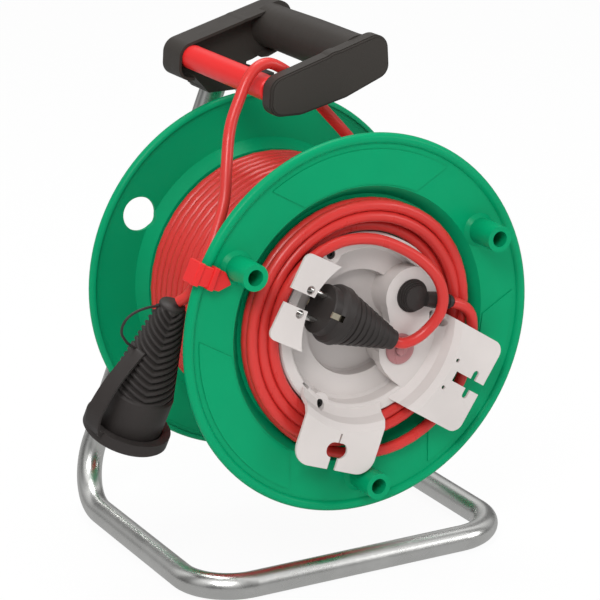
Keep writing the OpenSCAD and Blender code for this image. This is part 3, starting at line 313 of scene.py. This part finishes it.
def wound_legs():
    """Each leg's turns, its radius at start and end, and its place at start and end."""
    legs = []
    place, goal = ENTRY_F, -END_F
    angle = ENTRY_ANGLE
    for layer, radius in enumerate(LAYER_R):
        outermost = radius == LAYER_R[-1]
        turns = abs(goal - place) / TURN_PITCH
        if outermost:
            most = 2 * END_F / TIGHTEST_PITCH
            turns = most - (angle / 360 + most - CROSSING_ANGLE / 360) % 1
        legs.append((turns, radius, radius, place, goal))
        if not outermost:
            legs.append((1, radius, LAYER_R[layer + 1], goal, goal))
        angle += 360 * (turns + 1)
        place, goal = goal, -goal
    return legs


def wound_route():
    """The cord's centre line from the core's hole to the start of the run."""
    route = []
    angle = ENTRY_ANGLE
    for turns, r_a, r_b, f_a, f_b in wound_legs():
        count = round(turns * POINTS_PER_TURN)
        for k in range(count):
            t = k / count
            here = angle + 360 * turns * t
            sway = SWAY * math.sin(math.radians(2 * here) + LAYER_PHASE * r_a)
            sway += SLOW_SWAY * math.sin(math.radians(here / 3))
            lift = LIFT * math.sin(math.radians(3 * here) + r_a)
            free = ease(t / FADE) * ease((1 - t) / FADE) if f_a != f_b else 0
            climb = ease((t - 1 + CLIMB) / CLIMB)
            route.append(round_drum(here, r_a + (r_b - r_a) * climb + lift * free,
                                    f_a + (f_b - f_a) * t + sway * free))
        angle += 360 * turns
    # the last part crosses over the outer layer to where the run starts
    last = (RUN_START_ANGLE - angle) % 360
    count = round(last / 360 * POINTS_PER_TURN)
    for k in range(count + 1):
        t = k / count
        route.append(round_drum(angle + last * t,
                                LAYER_R[-1] + (RUN_START_R - LAYER_R[-1]) * ease(RISE * t),
                                -END_F + (RUN_START_F + END_F) * ease(t * CROSS - CROSS_DELAY)))
    return route


# The run: from the winding over the guide bar and down through the clip to the coupling
RUN_POINTS = [
    (73.9, -14, 272.9), (56, -16, 291), (38, -18, 310), (20, -20, 330), (6, -21, 345), (-8, -22, 360),
    (-20, -22, 373), (-31, -22, 382), (-43, -22, 388), (-54, -23, 386), (-63, -25, 378), (-71, -28, 365),
    (-79, -32, 351.5), (-85, -38, 339), (-91, -46, 319), (-96.5, -53, 299), (-107, -61, 280),
    (-118.5, -67, 261), (-126.5, -68, 246.5), (-133, -66, 236), (-139, -62, 231),
]

# The supply cord from its boot to the coil, and from the coil to the plug, in the drum's axes
LEAD_POINTS = [(72, 10, 94.6), (80, 7, 94.5), (88, 1, 94), (93, -9, 93.3)]
TAIL_POINTS = [
    (-24, 70, 93), (-6, 70, 93), (12, 66, 94), (28, 58, 97), (42, 48, 101), (53, 35, 104),
    (58, 20, 105), (56, 6, 104), (48, -5, 101), (39, -12, 99), (28, -15, 97), (20, -11, 96),
]
COIL_STEP_ANGLE = 7
# Turns of the stored coil, run clockwise: angle, radius and height at which the cord settles
COIL_STEPS = [
    (-13, 98, 92.8), (-28, 102.5, 89.8), (-46, 106, 87.3), (-66, 106, 87), (-84, 104, 87), (-100, 101, 84.2),
    (-118, 97.6, 80), (-138, 94.4, 77.5),
    (-180, 93.9, 77.2), (-270, 93.9, 77.2), (-350, 93.6, 77.2), (-385, 88, 77.2), (-420, 85.2, 77.2),
    (-500, 85.2, 77.2), (-590, 85.2, 77.2), (-680, 85.2, 77.2), (-770, 85.2, 77.3), (-800, 88, 81),
    (-830, 93, 85.2), (-870, 94.2, 85.7), (-950, 94.3, 85.7), (-1040, 93.8, 85.7), (-1068, 90, 85.7),
    (-1095, 86, 85.7), (-1180, 85.6, 85.7), (-1270, 85.6, 85.7), (-1360, 85.6, 85.7), (-1430, 84, 85),
    (-1460, 79, 81), (-1490, 76.9, 78), (-1560, 76.8, 77.2), (-1760, 76.8, 77.3), (-1820, 76.9, 79.5),
    (-1860, 77, 84), (-1900, 77, 86), (-1960, 77.2, 87), (-2000, 77.8, 89), (-2025, 78.4, 91.5),
    (-2039.5, 78.9, 93),
]


def coil_route():
    """Points along straight spirals between the coil's steps, every few degrees."""
    route = []
    for (a_0, r_0, f_0), (a_1, r_1, f_1) in zip(COIL_STEPS, COIL_STEPS[1:]):
        count = max(2, round((a_0 - a_1) / COIL_STEP_ANGLE))
        for k in range(count):
            t = k / count
            route.append(round_drum(a_0 + (a_1 - a_0) * t, r_0 + (r_1 - r_0) * t, f_0 + (f_1 - f_0) * t))
    route.append(round_drum(*COIL_STEPS[-1]))
    return route


def relaxed(route, rounds):
    """Rounds off the corners that a route has where its pieces meet."""
    for _ in range(rounds):
        route = [route[0]] + [
            (a + 2 * b + c) / 4 for a, b, c in zip(route, route[1:], route[2:])
        ] + [route[-1]]
    return route


wound_cord = make_cord("wound_cord", wound_route(), rings=3)
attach(wound_cord, "drum")
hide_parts("winding")

run_route = smooth_route([Vector((x, y, z)) * MM + Vector((0, DRUM.y, 0)) for x, y, z in RUN_POINTS], steps=8)
cord_over_bar = make_cord("cord_over_bar", run_route, rings=5)
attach(cord_over_bar, "root")
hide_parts("cord_run")

lead_part = smooth_route([on_drum(*p) for p in LEAD_POINTS], steps=4)
tail_part = smooth_route([on_drum(*p) for p in TAIL_POINTS], steps=6)
supply_route = relaxed(lead_part + coil_route()[1:] + tail_part, rounds=6)
supply_cord = make_cord("supply_cord", supply_route, rings=5)
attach(supply_cord, "drum")
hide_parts("supply_lead", "supply_coil", "supply_tail")

# ---------- soft and moulded parts shown with more form than the fixed model has ----------


def mesh_piece(name, bm, smooth):
    bmesh.ops.recalc_face_normals(bm, faces=bm.faces)
    for face in bm.faces:
        face.smooth = smooth
    mesh = bpy.data.meshes.new(name)
    bm.to_mesh(mesh)
    bm.free()
    piece = bpy.data.objects.new(name, mesh)
    bpy.context.collection.objects.link(piece)
    return piece


def soften(piece, width, steps):
    """Rounds the sharp edges of a piece."""
    bevel = piece.modifiers.new("soft_edges", "BEVEL")
    bevel.width = width
    bevel.segments = steps
    bevel.limit_method = "ANGLE"
    bevel.angle_limit = math.radians(35)
    bevel.harden_normals = True


def skin_rings(bm, rings):
    """A closed skin over rings that have the same number of corners."""
    loops = [[bm.verts.new(place) for place in ring] for ring in rings]
    for low, high in zip(loops, loops[1:]):
        for i in range(len(low)):
            j = (i + 1) % len(low)
            bm.faces.new((low[i], low[j], high[j], high[i]))
    bm.faces.new(loops[0])
    bm.faces.new(loops[-1])


def circle(x, y, radius, corners):
    """Corners round a circle."""
    turns = (math.tau * k / corners for k in range(corners))
    return [(x + radius * math.cos(turn), y + radius * math.sin(turn)) for turn in turns]


# The coupling's axes: its rear end, the way to its mouth, and the side where the lid's hinge is
COUPLING_REAR = Vector((-142, -60, 230)) * MM + Vector((0, DRUM.y, 0))
COUPLING_AIM = Vector((-26, 35, -109)).normalized()
COUPLING_UP = COUPLING_AIM.cross(Vector((-0.95, -0.3, 0))).normalized()
COUPLING_SIDE = COUPLING_UP.cross(COUPLING_AIM)
COUPLING_GAP = 0.3


def on_coupling(x, y, z):
    """A place in the coupling's own millimetres: z runs from its neck to its mouth."""
    return COUPLING_REAR + (COUPLING_SIDE * x + COUPLING_UP * y + COUPLING_AIM * (z + COUPLING_GAP)) * MM


NECK_TOP, NECK_END, BODY_END = 2.0, 73.0, 108.0
NECK_HOLE_R, NECK_R, NECK_END_R, BODY_R = 9.4, 9.8, 24.0, 25.5
MOUTH_R, MOUTH_DEPTH = 18.4, 22.0
# Height and radius of the rings from the neck's end to the bottom of the mouth
MOUTH_STEPS = [
    (NECK_END + 1.2, BODY_R - 0.3), (NECK_END + 2, BODY_R),
    (BODY_END - 0.4, BODY_R), (BODY_END, BODY_R - 0.4),
    (BODY_END, MOUTH_R + 0.3), (BODY_END - 0.4, MOUTH_R),
    (BODY_END - MOUTH_DEPTH, MOUTH_R),
]
RIBS = 14
RIB_PITCH = (NECK_END - NECK_TOP) / RIBS
RIB_HIGH, RIB_DEEP = 0.9, 2.3
RIB_UP, RIB_DOWN, RIB_SLOPE = 0.08, 0.62, 0.16      # shares of the pitch: start of each slope, and its length
FADE_TOP, FADE_END = 2, 1.5                         # heights over which the ribs fade in and out
RIDGE_ANGLE, RIDGE_DIP = -52, 10.5      # the ribs meet in a point on this side, lower by this much
SHELL_CORNERS = 128
SHELL_STEP = 0.42


def neck_radius(z, angle):
    """Radius of the ribbed neck at a height and an angle."""
    base = NECK_R + (NECK_END_R - NECK_R) * min(max((z - NECK_TOP) / (NECK_END - NECK_TOP), 0), 1)
    off_ridge = abs((angle - RIDGE_ANGLE + 180) % 360 - 180)
    dip = RIDGE_DIP * (1 - abs(1 - off_ridge / 90))
    place = ((z - NECK_TOP + dip) / RIB_PITCH) % 1
    wave = ease((place - RIB_UP) / RIB_SLOPE) - ease((place - RIB_DOWN) / RIB_SLOPE)
    share = ease((z - NECK_TOP) / FADE_TOP) * ease((NECK_END - z) / FADE_END)
    return base + share * (wave * (RIB_HIGH + RIB_DEEP) - RIB_DEEP)


def make_coupling_shell():
    """The coupling's body, with ribs that point towards its mouth."""
    turns = [math.tau * i / SHELL_CORNERS for i in range(SHELL_CORNERS)]
    rings = [[(z, radius)] * SHELL_CORNERS for z, radius in ((0, NECK_HOLE_R), (NECK_TOP / 2, NECK_R))]
    steps = round((NECK_END - NECK_TOP) / SHELL_STEP)
    for k in range(steps + 1):
        z = NECK_TOP + (NECK_END - NECK_TOP) * k / steps
        rings.append([(z, neck_radius(z, math.degrees(turn))) for turn in turns])
    rings += [[(z, radius)] * SHELL_CORNERS for z, radius in MOUTH_STEPS]
    bm = bmesh.new()
    skin_rings(bm, [[
        on_coupling(radius * math.cos(turn), radius * math.sin(turn), z)
        for turn, (z, radius) in zip(turns, ring)] for ring in rings])
    return mesh_piece("coupling_shell", bm, smooth=True)


# The strap's middle line: distance from the coupling's axis, height, and half width there
STRAP = [(15.5, 38, 5.2), (19, 40, 5.6), (25, 47.5, 6.0), (33, 61, 6.4), (38.5, 75, 6.8), (41, 87, 7.0),
         (39.8, 96, 7.0), (37.2, 101.5, 7.0), (35.3, 104.2, 6.9)]
STRAP_T = 2.4
STRAP_EDGE = 0.5
# The thin loop that hangs between the neck's top and the strap, in the coupling's axes
LOOP = [(7.6, 4.8, 4), (16, 5.5, 4), (27, 6, 6), (35, 6, 10), (38, 6, 16), (37, 5.8, 23), (32, 5.4, 29),
        (25, 5, 34.5), (16, 3.5, 39)]
LOOP_R = 1.0
HINGE_X, HINGE_Z, BARREL_R = 35, 103, 2.6
BARREL_HALVES = ((-7.0, -4.6), (4.6, 7.0))      # beside the lid's knuckle


def sweep(bm, route, section):
    """Carries a cross-section along a route; section(i, side, up) gives its corners."""
    rings = []
    for i, here in enumerate(route):
        ahead = (route[min(i + 1, len(route) - 1)] - route[max(i - 1, 0)]).normalized()
        up = (COUPLING_UP - ahead * ahead.dot(COUPLING_UP)).normalized()
        rings.append([here + offset for offset in section(i, ahead.cross(up), up)])
    skin_rings(bm, rings)


def make_lid_strap():
    line = smooth_route([Vector(step) for step in STRAP], steps=6)

    def flat(i, side, up):
        thick, wide = side * (STRAP_T / 2 * MM), up * (line[i][2] * MM)
        return thick + wide, wide - thick, -thick - wide, thick - wide

    def round_thin(i, side, up):
        return [side * a + up * b for a, b in circle(0, 0, LOOP_R * MM, corners=12)]

    bm = bmesh.new()
    sweep(bm, [on_coupling(x, 0, z) for x, z, _ in line], flat)
    sweep(bm, smooth_route([on_coupling(*step) for step in LOOP], steps=6), round_thin)
    for ends in BARREL_HALVES:
        skin_rings(bm, [[on_coupling(x, y, z) for x, z in circle(HINGE_X, HINGE_Z, BARREL_R, corners=24)]
                        for y in ends])
    strap = mesh_piece("lid_strap", bm, smooth=False)
    soften(strap, STRAP_EDGE * MM, steps=2)
    return strap


CLIP_ANGLE = 156
# block, ridge and band of the clip: radius from and to, half width, and depth from and to
CLIP_BLOCKS = [
    (136.5, 150.5, 7.5, 74.5, 89.5),
    (146.5, 151.8, 8.6, 75.0, 91.0),
    (133.5, 138.0, 8.6, 80.0, 91.0),
]
# pointed end: radius of its tip, shoulders and root, half width, and depth from and to
CLIP_TIP = (119.5, 127.5, 136.0, 7.5, 83.2, 88.4)
# hook round the cord, behind the flange: radius and depth of the cord, and the hook's own sizes
HOOK_AT, HOOK_IN_R, HOOK_OUT_R, HOOK_HALF_W = (134, 67), 4.9, 6.9, 7
HOOK_START, HOOK_STEP, HOOK_PARTS = -80, 40, 5
CLIP_EDGE = 0.9


def on_clip(radius, across, forward):
    turn = math.radians(CLIP_ANGLE)
    return on_drum(radius * math.cos(turn) - across * math.sin(turn),
                   radius * math.sin(turn) + across * math.cos(turn), forward)


def make_keeper():
    """The clip that holds the cord's end on the front flange's rim, with a pointed end."""
    bm = bmesh.new()
    tip, shoulder, root, half_tip, tip_low, tip_high = CLIP_TIP
    prisms = [([(near, -half), (far, -half), (far, half), (near, half)], low, high)
              for near, far, half, low, high in CLIP_BLOCKS]
    arrow = [(tip, 0), (shoulder, -half_tip), (root, -half_tip), (root, half_tip), (shoulder, half_tip)]
    prisms.append((arrow, tip_low, tip_high))
    for corners, low, high in prisms:
        skin_rings(bm, [[on_clip(radius, across, forward) for radius, across in corners]
                        for forward in (low, high)])
    for part in range(HOOK_PARTS):
        a, b = (math.radians(HOOK_START + HOOK_STEP * (part + k)) for k in (0, 1))
        ring = [(HOOK_AT[0] + size * math.cos(turn), HOOK_AT[1] + size * math.sin(turn)) for turn, size in
                ((a, HOOK_IN_R), (a, HOOK_OUT_R), (b, HOOK_OUT_R), (b, HOOK_IN_R))]
        skin_rings(bm, [[on_clip(radius, across, forward) for radius, forward in ring]
                        for across in (-HOOK_HALF_W, HOOK_HALF_W)])
    keeper = mesh_piece("cord_keeper", bm, smooth=False)
    soften(keeper, CLIP_EDGE * MM, steps=3)
    return keeper


GLAND_AT, GLAND_BOSS_R = (41, 18), 22
BUTTON_AT, BUTTON_BOSS_R = (31, -22), 17
BOSS_LAP = 1.6                  # how far the table reaches into each boss
GLAND_ARC_R = GLAND_BOSS_R - 0.3
TABLE_LOW, TABLE_TOP = 78.0, 87.97
TABLE_R, EDGE_MAX_R = 66.5, 65.5
TABLE_ANGLES = range(-54, 42, 3)
GLAND_ANGLES = range(75, 186, 6)
# notch in the table's rim, clear of a screw's seat
SCREW_ANGLE, SCREW_NOTCH, NOTCH_HALF_ANGLE, NOTCH_SLOPE = -5, 10, 11, 3
# left edge of the raised table, from the gland's boss down past the button's boss to the rim
TABLE_EDGE = [(19.6, 15), (20.5, 8), (22.5, 0), (19.5, -7), (15, -14), (13.2, -22), (14, -30), (18, -38),
              (25, -46), (33, -53), (40, -59)]


def table_outline():
    outline = []
    for angle in TABLE_ANGLES:
        notch = ease((NOTCH_HALF_ANGLE - abs(angle - SCREW_ANGLE)) / NOTCH_SLOPE)
        radius = TABLE_R - SCREW_NOTCH * notch
        outline.append((radius * math.cos(math.radians(angle)), radius * math.sin(math.radians(angle))))
    for angle in GLAND_ANGLES:
        outline.append((GLAND_AT[0] + GLAND_ARC_R * math.cos(math.radians(angle)),
                        GLAND_AT[1] + GLAND_ARC_R * math.sin(math.radians(angle))))
    return outline + [(x, up) for x, up in TABLE_EDGE if math.hypot(x, up) < EDGE_MAX_R]


def make_insert_table():
    """Raised table of the storage insert, which carries both the gland and the reset button."""
    shape = bpy.data.curves.new("table_outline", "CURVE")
    shape.dimensions = "2D"
    shape.fill_mode = "BOTH"
    shape.extrude = (TABLE_TOP - TABLE_LOW) / 2
    loops = [table_outline()]
    for centre, boss_r in ((GLAND_AT, GLAND_BOSS_R), (BUTTON_AT, BUTTON_BOSS_R)):
        loops.append(circle(*centre, boss_r - BOSS_LAP, corners=64))
    for loop in loops:
        line = shape.splines.new("POLY")
        line.points.add(len(loop) - 1)
        line.use_cyclic_u = True
        for point, (x, up) in zip(line.points, loop):
            point.co = (x, up, 0, 1)
    holder = bpy.data.objects.new("table_outline", shape)
    flat = bpy.data.meshes.new_from_object(holder)
    bpy.data.objects.remove(holder)
    bm = bmesh.new()
    bm.from_mesh(flat)
    bpy.data.meshes.remove(flat)
    bmesh.ops.remove_doubles(bm, verts=bm.verts, dist=0.001)
    for vert in bm.verts:
        x, up, level = vert.co
        vert.co = on_drum(x, up, (TABLE_TOP + TABLE_LOW) / 2 + level)
    return mesh_piece("insert_table", bm, smooth=False)


insert_table = make_insert_table()
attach(insert_table, "drum")

coupling_shell = make_coupling_shell()
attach(coupling_shell, "root")
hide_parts("coupling_body")

lid_strap = make_lid_strap()
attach(lid_strap, "root")
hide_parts("lid_band")

cord_keeper = make_keeper()
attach(cord_keeper, "root")
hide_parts("cord_clip")

# ---------- surfaces shared by the materials ----------
DUST_COLOUR = (0.42, 0.40, 0.37, 1)


def new_group(name, inputs, outputs):
    group = bpy.data.node_groups.new(name, "ShaderNodeTree")
    for label, kind in inputs:
        group.interface.new_socket(label, in_out="INPUT", socket_type=kind)
    for label, kind in outputs:
        group.interface.new_socket(label, in_out="OUTPUT", socket_type=kind)
    return group, group.nodes.new("NodeGroupInput"), group.nodes.new("NodeGroupOutput")


SURFACE_OUTPUTS = [
    ("Colour", "NodeSocketColor"), ("Roughness", "NodeSocketFloat"), ("Height", "NodeSocketFloat"),
]


def finish_group(group, end, colour, roughness, height):
    for label, value in (("Colour", colour), ("Roughness", roughness), ("Height", height)):
        group.links.new(value, end.inputs[label])
    return group


def build_moulded_surface():
    """Moulded plastic: soft flow marks, a fine grain, faint scuffs and dust that lies on top."""
    group, start, end = new_group("moulded_surface", [
        ("Colour", "NodeSocketColor"), ("Tone Shift", "NodeSocketFloat"), ("Roughness", "NodeSocketFloat"),
        ("Grain Scale", "NodeSocketFloat"), ("Dust", "NodeSocketFloat"),
    ], SURFACE_OUTPUTS)
    flow = noise(group, scale=14, detail=3)
    grain = noise(group, scale=start.outputs["Grain Scale"], detail=2)
    scuffs = noise(group, scale=90, detail=6, stretch=(1, 1, 0.25))
    darker = math_node(group, "SUBTRACT", 1, start.outputs["Tone Shift"])
    paler = add(group, 1, start.outputs["Tone Shift"])
    toned = scale_colour(group, start.outputs["Colour"], ramp(group, flow, 0.3, 0.7, darker, paler))
    normal = group.nodes.new("ShaderNodeSeparateXYZ")
    group.links.new(group.nodes.new("ShaderNodeNewGeometry").outputs["Normal"], normal.inputs[0])
    faces_up = ramp(group, normal.outputs["Z"], 0.55, 1, 0, 1)
    dusty = multiply(group, faces_up, ramp(group, scuffs, 0.4, 0.7, 0.3, 1))
    colour = mix_colours(group, multiply(group, dusty, start.outputs["Dust"]), toned, DUST_COLOUR)
    roughness = add(group, start.outputs["Roughness"], ramp(group, scuffs, 0.35, 0.75, -0.035, 0.07))
    height = add(group, multiply(group, grain, 0.6), multiply(group, flow, 0.8))
    return finish_group(group, end, colour, roughness, height)


def build_zinc_surface():
    """Zinc on steel: pale crystals, cloudy patches and fine marks."""
    group, start, end = new_group("zinc_surface", [
        ("Colour", "NodeSocketColor"), ("Crystal Scale", "NodeSocketFloat"),
        ("Crystal Strength", "NodeSocketFloat"), ("Roughness", "NodeSocketFloat"),
    ], SURFACE_OUTPUTS)
    crystals = group.nodes.new("ShaderNodeTexVoronoi")
    group.links.new(group.nodes.new("ShaderNodeTexCoord").outputs["Object"], crystals.inputs["Vector"])
    group.links.new(start.outputs["Crystal Scale"], crystals.inputs["Scale"])
    pick = group.nodes.new("ShaderNodeSeparateColor")
    group.links.new(crystals.outputs["Color"], pick.inputs[0])
    clouds = noise(group, scale=34, detail=4)
    marks = noise(group, scale=900, detail=2)
    darkest = math_node(group, "SUBTRACT", 1, start.outputs["Crystal Strength"])
    crystal_tone = ramp(group, pick.outputs["Red"], 0, 1, darkest, 1)
    cloud_tone = ramp(group, clouds, 0.3, 0.7, 0.93, 1.04)
    colour = scale_colour(group, start.outputs["Colour"], multiply(group, crystal_tone, cloud_tone))
    crystal_sheen = ramp(group, pick.outputs["Green"], 0, 1, -0.012, 0.015)
    cloud_sheen = ramp(group, clouds, 0.35, 0.7, -0.03, 0.05)
    roughness = add(group, add(group, start.outputs["Roughness"], crystal_sheen), cloud_sheen)
    height = add(group, multiply(group, marks, 0.35), clouds)
    return finish_group(group, end, colour, roughness, height)


MOULDED = build_moulded_surface()
ZINC = build_zinc_surface()

# ---------- materials ----------


def finish_material(name, group, colour, values, bump, **constants):
    """Colour, roughness and bump come from a group, and constants sit on the shader."""
    material = bpy.data.materials.new(name)
    material.use_nodes = True
    tree = material.node_tree
    skin = tree.nodes["Principled BSDF"]
    node = tree.nodes.new("ShaderNodeGroup")
    node.node_tree = group
    node.inputs["Colour"].default_value = (*colour, 1)
    for label, value in values.items():
        node.inputs[label].default_value = value
    tree.links.new(node.outputs["Colour"], skin.inputs["Base Color"])
    tree.links.new(node.outputs["Roughness"], skin.inputs["Roughness"])
    relief = tree.nodes.new("ShaderNodeBump")
    relief.inputs["Strength"].default_value = 1
    relief.inputs["Distance"].default_value = bump
    tree.links.new(node.outputs["Height"], relief.inputs["Height"])
    tree.links.new(relief.outputs[0], skin.inputs["Normal"])
    for label, value in constants.items():
        skin.inputs[label.replace("_", " ")].default_value = value
    return material


def moulded(name, colour, roughness, grain_scale=1500, bump=0.00004, tone=0.05, dust=0.03, **constants):
    return finish_material(name, MOULDED, colour, {
        "Roughness": roughness, "Grain Scale": grain_scale, "Tone Shift": tone, "Dust": dust,
    }, bump, **constants)


def zinc(name, colour, roughness, crystals, scale, bump):
    return finish_material(name, ZINC, colour, {
        "Roughness": roughness, "Crystal Strength": crystals, "Crystal Scale": scale,
    }, bump, Metallic=1)


MATERIALS = {
    "galvanised_tube": zinc("galvanised_tube", (0.80, 0.80, 0.78), 0.28, crystals=0.03, scale=300,
                            bump=0.000004),
    "zinc_steel": zinc("zinc_steel", (0.66, 0.67, 0.66), 0.25, crystals=0.04, scale=700, bump=0.00003),
    "bright_steel": zinc("bright_steel", (0.74, 0.73, 0.70), 0.2, crystals=0.02, scale=900, bump=0.00002),
    "spring_steel": zinc("spring_steel", (0.22, 0.22, 0.21), 0.35, crystals=0.05, scale=900, bump=0.00003),
    "handle_black": moulded("handle_black", (0.043, 0.038, 0.034), 0.46, grain_scale=1100, bump=0.00012,
                            dust=0.01, Specular_IOR_Level=0.15),
    "guide_red": moulded("guide_red", (0.72, 0.022, 0.022), 0.33, Specular_IOR_Level=0.3),
    "drum_green": moulded("drum_green", (0.0010, 0.30, 0.125), 0.32, bump=0.00005, dust=0.003,
                          Specular_IOR_Level=0.10),
    "insert_grey": moulded("insert_grey", (0.61, 0.565, 0.545), 0.42, grain_scale=1300, dust=0,
                           Specular_IOR_Level=0.3),
    "bearing_white": moulded("bearing_white", (0.74, 0.73, 0.69), 0.4, dust=0),
    "screw_black": zinc("screw_black", (0.05, 0.05, 0.05), 0.35, crystals=0.05, scale=900, bump=0.00003),
    "black_rubber": moulded("black_rubber", (0.034, 0.029, 0.0275), 0.46, grain_scale=1300, bump=0.0001,
                            dust=0.02, Specular_IOR_Level=0.25),
    "contact_plate": moulded("contact_plate", (0.03, 0.028, 0.026), 0.5, dust=0),
    "brass_contact": zinc("brass_contact", (0.80, 0.72, 0.55), 0.25, crystals=0.03, scale=900, bump=0.00002),
    "silicone_pink": moulded("silicone_pink", (0.40, 0.17, 0.175), 0.3, dust=0, Coat_Weight=0.3),
    "housing_black": moulded("housing_black", (0.03, 0.03, 0.03), 0.5, dust=0),
    "cord_red": moulded("cord_red", (0.60, 0.034, 0.029), 0.30, grain_scale=700, bump=0.00004, dust=0.003,
                        Specular_IOR_Level=0.40),
}


def dress(piece, material):
    piece.data.materials.clear()
    piece.data.materials.append(MATERIALS[material])


for row in frame["record"]["subparts"]:
    dress(NODES[row["node"]], row["material_slot"])
for piece, material in ((wound_cord, "cord_red"), (cord_over_bar, "cord_red"), (supply_cord, "cord_red"),
                        (coupling_shell, "black_rubber"), (lid_strap, "black_rubber"),
                        (cord_keeper, "guide_red"), (insert_table, "insert_grey")):
    dress(piece, material)

# ---------- view --------------------
bpy.context.scene.view_settings.view_transform = "Standard"
